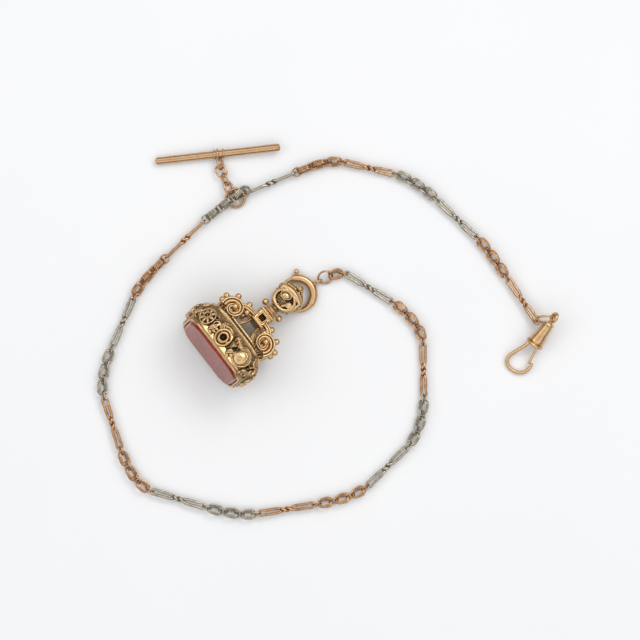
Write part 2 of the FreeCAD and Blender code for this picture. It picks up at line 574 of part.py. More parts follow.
hl2, hw2 = val("setting_length") / 2, val("setting_width") / 2
s0 = deep + 0.4
low = Part.makeLoft([cushion(sw2 + 1.0, sl2 + 1.0, sc + 1.0, bh), cushion(hw2, hl2, sc + 2.2, 3.8), cushion(hw2, hl2, sc + 2.2, 6.0), cushion(hw2 - 1.5, hl2 - 1.7, sc + 1.5, 7.8),
                     cushion(hw2 - 4.4, hl2 - 5.2, 4.5, 9.6)], True, True)
shaped("seal_setting", solid_of(low), SEAL)
plate = Part.Face(cushion(4.6, 6.6, 3.6, 9.6, cv=-0.4)).extrude(V(0, 0, 0.9))
shaped("seal_shoulder", solid_of(plate), SEAL)


def scroll(cv, cs, sgn, w, foot):
    # a spiral of three half circles in a plane of constant x, with an arm that runs to the block
    big, step, r = val("scroll_big"), val("scroll_step"), val("scroll_wire")
    centre, radius, at = 0.0, big, -big
    arcs = []
    for k in range(3):
        way = 1 if k % 2 == 0 else -1
        end = centre + way * radius
        q = [V(w, cv + sgn * y, cs + z) for y, z in ((0, at), (way * radius, centre), (0, end))]
        arcs.append(Part.Arc(*q).toShape())
        at = end
        radius -= step
        centre = end - way * radius
    body = sweep(arcs, r)
    last = arcs[-1].valueAt(arcs[-1].LastParameter)
    body = body.fuse(Part.makeSphere(r * 1.25, last))
    top = V(w, cv, cs + big)
    root = V(w, foot[0], foot[1])
    return body.fuse(Part.makeCylinder(r * 0.98, (root - top).Length, top, root - top))


bf, bt, bv, bww = val("block_from"), val("block_to"), val("block_half_v"), val("block_half_w")
block = Part.makeBox(2 * bww, 2 * bv, bt - bf, V(-bww, -bv, bf))
pd, pn = val("block_panel_depth"), val("block_panel")
for sgn in (1, -1):
    x0 = bww - pd if sgn > 0 else -bww - 0.1
    block = block.cut(Part.makeBox(pd + 0.1, 2 * pn, 2 * pn, V(x0, -pn, (bf + bt) / 2 - pn)))
legs = []
for sgn in (1, -1):
    leg = Part.makeLoft([Part.makePolygon([V(-1.2, sgn * 2.6, 10.5), V(1.2, sgn * 2.6, 10.5), V(1.2, sgn * 4.2, 10.5), V(-1.2, sgn * 4.2, 10.5), V(-1.2, sgn * 2.6, 10.5)]),
                         Part.makePolygon([V(-1.2, sgn * 1.4, bf), V(1.2, sgn * 1.4, bf), V(1.2, sgn * 2.8, bf), V(-1.2, sgn * 2.8, bf), V(-1.2, sgn * 1.4, bf)])], True, True)
    legs.append(leg)
block = block.fuse(legs)
shaped("seal_block", solid_of(block), SEAL)

SCROLLS = []
for label, w in (("seal_scrolls_near", val("scroll_side_w")), ("seal_scrolls_far", -val("scroll_side_w"))):
    bits = []
    for b in (scroll(-7.0, 11.4, -1, w, (-bv + 0.6, 15.7)), scroll(5.9, 12.1, 1, w, (bv - 0.6, 16.2))):
        b = b.cut(Part.makeBox(40, 40, 20.5, V(-20, -20, -10))).cut(block)
        bits.append(max(b.Solids, key=lambda q: q.Volume))
    SCROLLS += bits
    shaped(label, Part.makeCompound(bits), SEAL)

# beads stand on the outer edge of the scrolls, on the arms and at the corners of the block (across, along)
rim = val("scroll_big") + val("scroll_wire") + val("bead_radius") - 0.35
BEADS = [(-7.0 - rim * 0.95, 11.4 + rim * 0.31), (-7.0 - rim * 0.42, 11.4 + rim * 0.907), (-5.0, 16.2), (-3.75, 14.3),
         (5.9 + rim * 0.94, 12.1 + rim * 0.34), (5.9 + rim * 0.45, 12.1 + rim * 0.893), (4.4, 16.85), (3.75, 14.6)]
cut_beads = []
for w in (val("scroll_side_w"), -val("scroll_side_w")):
    for across, along in BEADS:
        ball = Part.makeSphere(val("bead_radius"), V(w, across, along))
        for cutter in SCROLLS + [block]:
            if ball.distToShape(cutter)[0] < 1e-6:
                ball = ball.cut(cutter)
                ball = max(ball.Solids, key=lambda q: q.Volume)
        cut_beads.append(ball)
shaped("seal_beads", Part.makeCompound(cut_beads), SEAL)

n0 = bt
neck_pts = [(0, n0), (1.7, n0), (2.15, n0 + 0.3), (2.15, n0 + 0.7), (1.75, n0 + 0.95), (2.0, n0 + 1.2), (2.0, n0 + 1.6), (1.6, n0 + 1.9), (1.4, n0 + 2.8), (0, n0 + 2.8)]
profile_body("seal_neck", neck_pts, SEAL)
NECK = Part.Face(Part.makePolygon([V(x, 0, z) for x, z in neck_pts + neck_pts[:1]])).revolve(V(0, 0, 0), V(0, 0, 1), 360)
balls = []
for sgn in (1, -1):
    stalk = Part.makeCylinder(0.45, val("neck_ball_at") - 1.55, V(0, sgn * 1.55, val("neck_ball_s")), V(0, sgn, 0))
    bl_ = Part.makeSphere(val("neck_ball_radius"), V(0, sgn * val("neck_ball_at"), val("neck_ball_s"))).fuse(stalk)
    bl_ = bl_.cut(NECK)
    balls.append(max(bl_.Solids, key=lambda q: q.Volume))
shaped("seal_neck_balls", Part.makeCompound(balls), SEAL)

# finial, crown and loop are one casting; the loop goes round the clasp wire
ell = doc.addObject("Part::Ellipsoid", "finial_ellipsoid")
ell.setExpression("Radius1", "Sizes.finial_half_s")
ell.setExpression("Radius2", "Sizes.finial_half_w")
ell.setExpression("Radius3", "Sizes.finial_half_v")
doc.recompute()
fin = moved(ell.Shape.copy(), FreeCAD.Placement(V(0, 0, val("finial_at")), FreeCAD.Rotation()))
wire_pt = V(-9.97, 4.37, 1.25) + SHIFT
lc = SEAL.inverse().multVec(wire_pt + V(0, 0, 0.17))
lring = Part.makeTorus(val("seal_loop_radius"), val("seal_loop_wire"), lc, V(0, 1, 0))
fin = fin.cut(Part.makeBox(20, 20, 10, V(-10, -10, n0 + 2.8 - 10)))
fin = fin.fuse(lring)
crown = Part.makeCylinder(1.0, 1.3, V(0, 0, val("finial_at") + val("finial_half_s") - 0.4), V(0, 0, 1))
fin = fin.fuse(crown)
if len(fin.Solids) != 1:
    print("finial solids", len(fin.Solids))
shaped("seal_finial", solid_of(fin), SEAL)

# ---------------------------------------------------------------- check and write
doc.recompute()
bad = []
for o in doc.Objects:
    if any(s in ("Invalid", "Error") for s in o.State):
        bad.append(o.Name)
for o in NODES:
    if o.Shape.isNull() or not o.Shape.isValid():
        bad.append("shape " + o.Label)
if bad:
    raise RuntimeError("failed: " + ", ".join(bad))
box = None
for o in NODES:
    o.Shape.exportStep(os.path.join("parts", o.Label + ".step"))
    b = o.Shape.BoundBox
    if b.ZMin < -1.5:
        print("low", o.Label, round(b.ZMin, 3))
    box = FreeCAD.BoundBox(b) if box is None else box
    box.add(b)
print(len(NODES), "nodes")
print("box x %.3f %.3f  y %.3f %.3f  z %.3f %.3f" % (box.XMin, box.XMax, box.YMin, box.YMax, box.ZMin, box.ZMax))
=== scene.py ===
import json
import math

import bpy
import numpy as np
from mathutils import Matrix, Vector


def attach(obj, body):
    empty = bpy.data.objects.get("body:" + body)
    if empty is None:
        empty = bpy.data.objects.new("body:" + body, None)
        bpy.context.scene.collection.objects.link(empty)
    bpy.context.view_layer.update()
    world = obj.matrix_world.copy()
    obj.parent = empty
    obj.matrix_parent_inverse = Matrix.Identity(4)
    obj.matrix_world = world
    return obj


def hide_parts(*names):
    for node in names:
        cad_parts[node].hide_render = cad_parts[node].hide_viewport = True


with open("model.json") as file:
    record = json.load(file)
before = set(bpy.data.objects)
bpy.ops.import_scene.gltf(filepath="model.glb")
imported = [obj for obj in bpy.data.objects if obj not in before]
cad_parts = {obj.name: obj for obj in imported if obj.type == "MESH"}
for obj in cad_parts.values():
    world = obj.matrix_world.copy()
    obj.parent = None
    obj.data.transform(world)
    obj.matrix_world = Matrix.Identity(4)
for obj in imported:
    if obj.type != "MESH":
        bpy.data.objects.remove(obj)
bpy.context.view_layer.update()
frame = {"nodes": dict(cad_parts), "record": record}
NODES = frame["nodes"]


rng = np.random.default_rng(7)

# ------------------------------------------------------------------ camera, floor, light
SCALE = 0.28            # millimetres to one pixel of the frame at the chain
CX, CY = -2.101, 3.296  # millimetres, middle of the frame
DIST = 1.35

scene = bpy.context.scene
cam_data = bpy.data.cameras.new("camera")
cam = bpy.data.objects.new("camera", cam_data)
scene.collection.objects.link(cam)
cam.location = (CX * 0.001, CY * 0.001, DIST)
cam.rotation_euler = (0, 0, 0)
cam_data.sensor_width = 36.0
cam_data.sensor_fit = "HORIZONTAL"
cam_data.lens = 36.0 * (DIST - 0.002) / (640 * SCALE * 0.001)
cam_data.clip_start = 0.05
cam_data.clip_end = 20
cam_data.dof.use_dof = False
scene.camera = cam
scene.view_settings.view_transform = "Standard"
scene.view_settings.look = "None"


def node_mat(name):
    m = bpy.data.materials.new(name)
    m.use_nodes = True
    nt = m.node_tree
    return m, nt, nt.nodes["Principled BSDF"]


def link(nt, a, b):
    nt.links.new(a, b)


def noise(nt, scale, detail=4.0, rough=0.55, coord=None):
    n = nt.nodes.new("ShaderNodeTexNoise")
    n.inputs["Scale"].default_value = scale
    n.inputs["Detail"].default_value = detail
    n.inputs["Roughness"].default_value = rough
    if coord is not None:
        link(nt, coord, n.inputs["Vector"])
    return n


def ramp(nt, fac, stops):
    r = nt.nodes.new("ShaderNodeValToRGB")
    e = r.color_ramp.elements
    while len(e) < len(stops):
        e.new(0.5)
    for k, (at, c) in enumerate(stops):
        e[k].position = at
        e[k].color = (c[0], c[1], c[2], 1) if not isinstance(c, (int, float)) else (c, c, c, 1)
    link(nt, fac, r.inputs["Fac"])
    return r


def mixc(nt, fac, a, b, blend="MIX"):
    m = nt.nodes.new("ShaderNodeMix")
    m.data_type = "RGBA"
    m.blend_type = blend
    for sock, v in ((m.inputs["Factor"], fac), (m.inputs["A"], a), (m.inputs["B"], b)):
        if isinstance(v, bpy.types.NodeSocket):
            link(nt, v, sock)
        elif isinstance(v, (int, float)):
            sock.default_value = v
        else:
            sock.default_value = (v[0], v[1], v[2], 1)
    return m.outputs["Result"]


def math_node(nt, op, a, b=None, clamp=False):
    m = nt.nodes.new("ShaderNodeMath")
    m.operation = op
    m.use_clamp = clamp
    for k, v in enumerate((a, b)):
        if v is None:
            continue
        if isinstance(v, bpy.types.NodeSocket):
            link(nt, v, m.inputs[k])
        else:
            m.inputs[k].default_value = v
    return m.outputs[0]


def bump(nt, bsdf, height, strength, dist):
    b = nt.nodes.new("ShaderNodeBump")
    b.inputs["Strength"].default_value = strength
    b.inputs["Distance"].default_value = dist
    link(nt, height, b.inputs["Height"])
    link(nt, b.outputs["Normal"], bsdf.inputs["Normal"])
    return b


def metal(name, base, warm, tarnish, rough_lo, rough_hi, tarnish_amount=0.35, scratch=0.15, grain=0.0):
    """Worn precious metal: two tones of alloy, tarnish in patches, fine hairline scratches, edges rubbed brighter."""
    m, nt, bsdf = node_mat(name)
    tc = nt.nodes.new("ShaderNodeTexCoord").outputs["Object"]
    big = noise(nt, 160.0, 3.0, 0.5, tc)
    mid = noise(nt, 900.0, 5.0, 0.62, tc)
    fine = noise(nt, 5200.0, 3.0, 0.6, tc)
    tone = ramp(nt, big.outputs["Fac"], [(0.30, base), (0.68, warm)])
    spots = ramp(nt, mid.outputs["Fac"], [(0.46, 0.0), (0.74, 1.0)])
    amount = math_node(nt, "MULTIPLY", spots.outputs["Color"], tarnish_amount)
    col = mixc(nt, amount, tone.outputs["Color"], tarnish)
    geo = nt.nodes.new("ShaderNodeNewGeometry")
    edge = ramp(nt, geo.outputs["Pointiness"], [(0.47, 0.0), (0.56, 1.0)])
    rub = math_node(nt, "MULTIPLY", edge.outputs["Color"], 0.22)
    bright = tuple(min(1.0, c * 1.12 + 0.04) for c in base)
    col = mixc(nt, rub, col, bright)
    link(nt, col, bsdf.inputs["Base Color"])
    bsdf.inputs["Metallic"].default_value = 1.0
    # hairlines: noise stretched two ways
    mp = nt.nodes.new("ShaderNodeMapping")
    mp.inputs["Scale"].default_value = (1.0, 0.06, 1.0)
    mp.inputs["Rotation"].default_value = (0.2, 0.1, 0.6)
    link(nt, tc, mp.inputs["Vector"])
    hair = noise(nt, 6500.0, 2.0, 0.5, mp.outputs["Vector"])
    r = ramp(nt, mid.outputs["Fac"], [(0.25, rough_lo), (0.8, rough_hi)])
    radd = math_node(nt, "MULTIPLY", hair.outputs["Fac"], 0.09)
    rr = math_node(nt, "ADD", r.outputs["Color"], radd, True)
    link(nt, rr, bsdf.inputs["Roughness"])
    h = math_node(nt, "ADD", math_node(nt, "MULTIPLY", hair.outputs["Fac"], 0.5), math_node(nt, "MULTIPLY", fine.outputs["Fac"], 0.5 + grain))
    bump(nt, bsdf, h, scratch, 0.00003)
    return m


def relief_metal(name, gold, warm, dark, rough_lo=0.20, rough_hi=0.5):
    """Carved and antiqued gold: the attribute 'high' is 1 on worn crests and 0 in the recesses; its low value on the
    back band of the setting is painted shade.
    """
    m, nt, bsdf = node_mat(name)
    tc = nt.nodes.new("ShaderNodeTexCoord").outputs["Object"]
    at = nt.nodes.new("ShaderNodeAttribute")
    at.attribute_name = "high"
    big = noise(nt, 260.0, 3.0, 0.5, tc)
    mid = noise(nt, 1300.0, 5.0, 0.65, tc)
    fine = noise(nt, 5200.0, 3.0, 0.6, tc)
    tone = ramp(nt, big.outputs["Fac"], [(0.30, gold), (0.70, warm)])
    wob = math_node(nt, "MULTIPLY", math_node(nt, "SUBTRACT", mid.outputs["Fac"], 0.5), 0.5)
    f = math_node(nt, "ADD", at.outputs["Fac"], wob, True)
    fr = ramp(nt, f, [(0.10, 0.0), (0.34, 0.45), (0.62, 1.0)])
    col = mixc(nt, fr.outputs["Color"], dark, tone.outputs["Color"])
    spots = ramp(nt, mid.outputs["Fac"], [(0.55, 0.0), (0.78, 1.0)])
    am = math_node(nt, "MULTIPLY", spots.outputs["Color"], 0.22)
    col = mixc(nt, am, col, tuple(c * 0.45 for c in gold))
    link(nt, col, bsdf.inputs["Base Color"])
    bsdf.inputs["Metallic"].default_value = 1.0
    r = ramp(nt, f, [(0.1, rough_hi), (0.7, rough_lo)])
    radd = math_node(nt, "MULTIPLY", mid.outputs["Fac"], 0.12)
    link(nt, math_node(nt, "ADD", r.outputs["Color"], radd, True), bsdf.inputs["Roughness"])
    h = math_node(nt, "ADD", math_node(nt, "MULTIPLY", mid.outputs["Fac"], 0.6), math_node(nt, "MULTIPLY", fine.outputs["Fac"], 0.4))
    bump(nt, bsdf, h, 0.22, 0.00005)
    return m


ROSE = metal("rose_gold", (0.53, 0.31, 0.165), (0.63, 0.39, 0.215), (0.09, 0.035, 0.015), 0.10, 0.22, 0.72, 0.18)
WHITE = metal("white_gold", (0.43, 0.385, 0.31), (0.52, 0.465, 0.365), (0.06, 0.04, 0.025), 0.10, 0.22, 0.72, 0.18)
YELLOW = metal("yellow_gold", (0.63, 0.40, 0.20), (0.70, 0.47, 0.25), (0.22, 0.11, 0.045), 0.20, 0.34, 0.34, 0.26, 0.5)
BARGOLD = metal("bar_gold", (0.55, 0.335, 0.175), (0.63, 0.40, 0.22), (0.19, 0.09, 0.04), 0.18, 0.30, 0.40, 0.22, 0.3)
ANTIQUE = metal("antique_gold_plain", (0.58, 0.40, 0.21), (0.65, 0.46, 0.24), (0.12, 0.07, 0.03), 0.18, 0.36, 0.55, 0.22, 0.3)
RELIEF = relief_metal("antique_gold_carved", (0.68, 0.48, 0.25), (0.62, 0.40, 0.20), (0.045, 0.025, 0.010))
STEEL = metal("spring_steel", (0.46, 0.46, 0.47), (0.52, 0.52, 0.53), (0.18, 0.16, 0.14), 0.22, 0.36, 0.3, 0.3, 0.2)


def stone_material():
    m, nt, bsdf = node_mat("carnelian")
    tc = nt.nodes.new("ShaderNodeTexCoord").outputs["Object"]
    cloud = noise(nt, 95.0, 5.0, 0.6, tc)
    mp = nt.nodes.new("ShaderNodeMapping")
    mp.inputs["Rotation"].default_value = (0.0, 0.5, 0.9)
    mp.inputs["Scale"].default_value = (1.0, 3.0, 1.0)
    link(nt, tc, mp.inputs["Vector"])
    band = nt.nodes.new("ShaderNodeTexWave")
    band.inputs["Scale"].default_value = 60.0
    band.inputs["Distortion"].default_value = 5.0
    band.inputs["Detail"].default_value = 3.0
    band.inputs["Detail Scale"].default_value = 2.0
    link(nt, mp.outputs["Vector"], band.inputs["Vector"])
    a = ramp(nt, cloud.outputs["Fac"], [(0.25, (0.19, 0.017, 0.006)), (0.55, (0.31, 0.034, 0.010)), (0.85, (0.46, 0.075, 0.018))])
    f = math_node(nt, "MULTIPLY", band.outputs["Fac"], 0.22)
    col = mixc(nt, f, a.outputs["Color"], (0.40, 0.060, 0.016))
    link(nt, col, bsdf.inputs["Base Color"])
    fine = noise(nt, 3000.0, 3.0, 0.6, tc)
    r = ramp(nt, fine.outputs["Fac"], [(0.3, 0.045), (0.8, 0.11)])
    link(nt, r.outputs["Color"], bsdf.inputs["Roughness"])
    bsdf.inputs["IOR"].default_value = 1.53
    bsdf.inputs["Subsurface Weight"].default_value = 0.12
    bsdf.inputs["Subsurface Radius"].default_value = (1.0, 0.2, 0.1)
    bsdf.inputs["Subsurface Scale"].default_value = 0.0015
    bsdf.inputs["Specular IOR Level"].default_value = 0.30
    bsdf.inputs["Coat Weight"].default_value = 0.02
    bsdf.inputs["Coat Roughness"].default_value = 0.04
    bump(nt, bsdf, fine.outputs["Fac"], 0.05, 0.00002)
    return m


STONE = stone_material()


def floor_material():
    m, nt, bsdf = node_mat("paper")
    tc = nt.nodes.new("ShaderNodeTexCoord").outputs["Object"]
    n = noise(nt, 14.0, 3.0, 0.5, tc)
    c = ramp(nt, n.outputs["Fac"], [(0.3, (0.846, 0.850, 0.856)), (0.7, (0.862, 0.863, 0.864))])
    link(nt, c.outputs["Color"], bsdf.inputs["Base Color"])
    bsdf.inputs["Roughness"].default_value = 0.75
    bsdf.inputs["Specular IOR Level"].default_value = 0.2
    return m


bpy.ops.mesh.primitive_plane_add(size=6.0, location=(0, 0, -0.00002))
floor = bpy.context.object
floor.name = "floor"
floor.data.materials.append(floor_material())

world = bpy.data.worlds.new("studio")
scene.world = world
world.use_nodes = True
wnt = world.node_tree
bg = wnt.nodes["Background"]
wtc = wnt.nodes.new("ShaderNodeTexCoord")
sep = wnt.nodes.new("ShaderNodeSeparateXYZ")
link(wnt, wtc.outputs["Generated"], sep.inputs[0])
wr = wnt.nodes.new("ShaderNodeValToRGB")
we = wr.color_ramp.elements
stops = [(0.0, (0.035, 0.032, 0.03)), (0.15, (0.06, 0.055, 0.05)), (0.34, (0.24, 0.235, 0.23)), (0.52, (0.84, 0.84, 0.85)), (0.72, (1.33, 1.34, 1.36)), (0.90, (1.24, 1.25, 1.27)), (0.97, (0.76, 0.76, 0.77)), (1.0, (0.60, 0.60, 0.61))]
while len(we) < len(stops):
    we.new(0.5)
for k, (at, c) in enumerate(stops):
    we[k].position = at
    we[k].color = (*c, 1)
link(wnt, sep.outputs["Z"], wr.inputs["Fac"])
link(wnt, wr.outputs["Color"], bg.inputs["Color"])
bg.inputs["Strength"].default_value = 1.0


def area(name, loc, target, size, power, color=(1, 1, 1), size_y=None):
    l = bpy.data.lights.new(name, "AREA")
    l.shape = "RECTANGLE"
    l.size = size
    l.size_y = size_y or size
    l.energy = power
    l.color = color
    o = bpy.data.objects.new(name, l)
    scene.collection.objects.link(o)
    o.location = loc
    d = Vector(target) - Vector(loc)
    o.rotation_euler = d.to_track_quat("-Z", "Y").to_euler()
    o.visible_camera = False
    return o


area("key_soft", (0.34, 0.44, 0.70), (0, 0, 0), 0.46, 1.55, (1.0, 0.992, 0.98), 0.30)
area("left_fill", (-0.62, 0.10, 0.50), (0, 0, 0), 0.30, 0.35, (0.95, 0.975, 1.0), 0.22)

# ------------------------------------------------------------------ mesh helpers (millimetres in, metres out)
SHIFT = np.array([-2.101, 3.296, 0.0])
TH = math.radians(15.0)


def unit(v):
    v = np.asarray(v, float)
    return v / np.linalg.norm(v)


S_DIR = unit([0.791 * math.cos(TH), 0.612 * math.cos(TH), -math.sin(TH)])
V_DIR = unit([0.612, -0.791, 0.0])
W_DIR = unit(np.cross(V_DIR, S_DIR))
FACE = np.array([-29.62, -9.86, 11.42]) + SHIFT


def seal_to_world(wvs):
    wvs = np.asarray(wvs, float)
    return FACE + wvs[..., 0:1] * W_DIR + wvs[..., 1:2] * V_DIR + wvs[..., 2:3] * S_DIR


def mesh_piece(name, co, faces, material, body, replaces=(), high=None, smooth=True):
    me = bpy.data.meshes.new(name)
    me.from_pydata((np.asarray(co) * 0.001).tolist(), [], [tuple(int(i) for i in f) for f in faces])
    me.validate()
    if high is not None:
        a = me.attributes.new("high", "FLOAT", "POINT")
        a.data.foreach_set("value", np.asarray(high, np.float32))
    if smooth:
        me.polygons.foreach_set("use_smooth", [True] * len(me.polygons))
    me.materials.append(material)
    me.update()
    o = bpy.data.objects.new(name, me)
    scene.collection.objects.link(o)
    bm_fix(o)
    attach(o, body)
    if replaces:
        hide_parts(*replaces)
    return o


def bm_fix(o):
    import bmesh

    bm = bmesh.new()
    bm.from_mesh(o.data)
    bmesh.ops.recalc_face_normals(bm, faces=bm.faces)
    bm.to_mesh(o.data)
    bm.free()


class Parts:
    """Collects closed shells, in seal coordinates or world, into one mesh."""

    def __init__(self):
        self.co, self.faces, self.high, self.n = [], [], [], 0

    def add(self, co, faces, high=None):
        co = np.asarray(co, float).reshape(-1, 3)
        self.co.append(co)
        self.faces += [tuple(i + self.n for i in f) for f in faces]
        self.high.append(np.full(len(co), 0.8) if high is None else np.asarray(high, float).ravel())
        self.n += len(co)

    def piece(self, name, material, body, replaces=(), seal=True):
        co = np.vstack(self.co)
        if seal:
            co = seal_to_world(co)
        return mesh_piece(name, co, self.faces, material, body, replaces, np.concatenate(self.high))


def grid_faces(rows, cols, wrap_cols=True, wrap_rows=False, base=0):
    r = rows if wrap_rows else rows - 1
    c = cols if wrap_cols else cols - 1
    i, j = np.meshgrid(np.arange(r), np.arange(c), indexing="ij")
    i2, j2 = (i + 1) % rows, (j + 1) % cols
    q = np.stack([i * cols + j, i * cols + j2, i2 * cols + j2, i2 * cols + j], -1).reshape(-1, 4) + base
    return [tuple(x) for x in q.tolist()]


def capped(rows_co, high=None, start=True, end=True):
    """Rows of rings, each ring closed; the two ends closed by fans through a middle point."""
    rows, cols, _ = rows_co.shape
    co = rows_co.reshape(-1, 3)
    faces = grid_faces(rows, cols)
    h = np.full(rows * cols, 0.8) if high is None else np.asarray(high, float).ravel()
    for flag, r in ((start, 0), (end, rows - 1)):
        if flag:
            mid = rows_co[r].mean(0)
            k = len(co)
            co = np.vstack([co, mid])
            h = np.append(h, h[r * cols:(r + 1) * cols].mean())
            for j in range(cols):
                a, b = r * cols + j, r * cols + (j + 1) % cols
                faces.append((b, a, k) if r == 0 else (a, b, k))
    return co, faces, h


def normals_of(g, wrap_cols=True):
    """Unit normals of a grid of points (rows, cols, 3)."""
    dr = np.gradient(g, axis=0)
    if wrap_cols:
        dc = (np.roll(g, -1, 1) - np.roll(g, 1, 1)) / 2
    else:
        dc = np.gradient(g, axis=1)
    n = np.cross(dc, dr)
    l = np.linalg.norm(n, axis=-1, keepdims=True)
    return n / np.maximum(l, 1e-12)


def box_blur(a, k):
    out = a.copy()
    for ax, wrap in ((0, False), (1, True)):
        acc = np.zeros_like(out)
        for d in range(-k, k + 1):
            if wrap:
                acc += np.roll(out, d, ax)
            else:
                idx = np.clip(np.arange(out.shape[0]) + d, 0, out.shape[0] - 1)
                acc += out[idx]
        out = acc / (2 * k + 1)
    return out


def tube(path, radius, sides=24, closed=False, squash=None, up=None, groove=0.0):
    """A tube along a path, carried by parallel transport. radius is a number or one for each point."""
    P = np.asarray(path, float)
    n = len(P)
    R = np.full(n, float(radius)) if np.isscalar(radius) else np.asarray(radius, float)
    if closed:
        T = np.roll(P, -1, 0) - np.roll(P, 1, 0)
    else:
        T = np.gradient(P, axis=0)
    T /= np.linalg.norm(T, axis=1, keepdims=True)
    rows = []
    if up is None:
        a = np.array([0, 0, 1.0]) if abs(T[0][2]) < 0.9 else np.array([1.0, 0, 0])
        N = np.cross(T[0], a)
        N /= np.linalg.norm(N)
        Ns = [N]
        for i in range(1, n):
            N = Ns[-1] - T[i] * np.dot(Ns[-1], T[i])
            Ns.append(N / np.linalg.norm(N))
        Ns = np.array(Ns)
    else:
        U = np.asarray(up, float)
        Ns = np.cross(U[None, :], T)
        Ns /= np.linalg.norm(Ns, axis=1, keepdims=True)
    Bs = np.cross(T, Ns)
    ang = np.linspace(0, 2 * np.pi, sides, endpoint=False)
    a, b = (1.0, 1.0) if squash is None else squash
    x = np.cos(ang) * a
    y = np.sin(ang) * b
    if groove:
        y = y - np.sign(y) * groove * np.exp(-(x / (0.33 * a)) ** 2) * (np.abs(np.sin(ang)) > 0.3)
    g = P[:, None, :] + R[:, None, None] * (x[None, :, None] * Ns[:, None, :] + y[None, :, None] * Bs[:, None, :])
    hi = np.full((n, sides), 0.8)
    if groove:
        hi = hi - 0.75 * (np.exp(-(x / (0.28 * a)) ** 2) * (np.abs(np.sin(ang)) > 0.3))[None, :]
    return g, hi


def ball(c, r, rows=18, cols=28):
    th = np.linspace(0.06, np.pi - 0.06, rows)
    ph = np.linspace(0, 2 * np.pi, cols, endpoint=False)
    g = np.stack([np.sin(th)[:, None] * np.cos(ph), np.sin(th)[:, None] * np.sin(ph), np.repeat(np.cos(th)[:, None], cols, 1)], -1)
    return np.asarray(c, float) + r * g


# ------------------------------------------------------------------ rounded outlines and relief
REF = (10.2, 13.1, 6.8)


def outline(p, hw, hv, c, cv=-1.0, ref=REF):
    """Point (w, v) for the running coordinate p in millimetres along the reference outline, on an outline of other size.
    p is 0 in the middle of the side that faces up and grows with v."""
    rw, rv, rc = ref
    a, b = rv - rc, rw - rc
    q = math.pi / 2 * rc
    per = 4 * a + 4 * b + 4 * q
    p = np.mod(np.asarray(p, float) + a, per)
    hs, he = hv - c, hw - c
    w = np.zeros_like(p)
    v = np.zeros_like(p)
    at = 0.0
    # side facing up, corner, end, corner, lower side, corner, end, corner
    spans = [2 * a, q, 2 * b, q, 2 * a, q, 2 * b, q]
    for k, ln in enumerate(spans):
        m = (p >= at - 1e-9) & (p < at + ln + 1e-9)
        f = (p[m] - at) / ln
        if k == 0:
            w[m], v[m] = hw, -hs + 2 * hs * f
        elif k == 1:
            w[m], v[m] = he + c * np.cos(f * math.pi / 2), hs + c * np.sin(f * math.pi / 2)
        elif k == 2:
            w[m], v[m] = he - 2 * he * f, hv
        elif k == 3:
            w[m], v[m] = -he - c * np.sin(f * math.pi / 2), hs + c * np.cos(f * math.pi / 2)
        elif k == 4:
            w[m], v[m] = -hw, hs - 2 * hs * f
        elif k == 5:
            w[m], v[m] = -he - c * np.cos(f * math.pi / 2), -hs - c * np.sin(f * math.pi / 2)
        elif k == 6:
            w[m], v[m] = -he + 2 * he * f, -hv
        else:
            w[m], v[m] = he + c * np.sin(f * math.pi / 2), -hs - c * np.cos(f * math.pi / 2)
        at += ln
    return w, v + cv


def perimeter(ref=REF):
    rw, rv, rc = ref
    return 4 * (rv - rc) + 4 * (rw - rc) + 2 * math.pi * rc


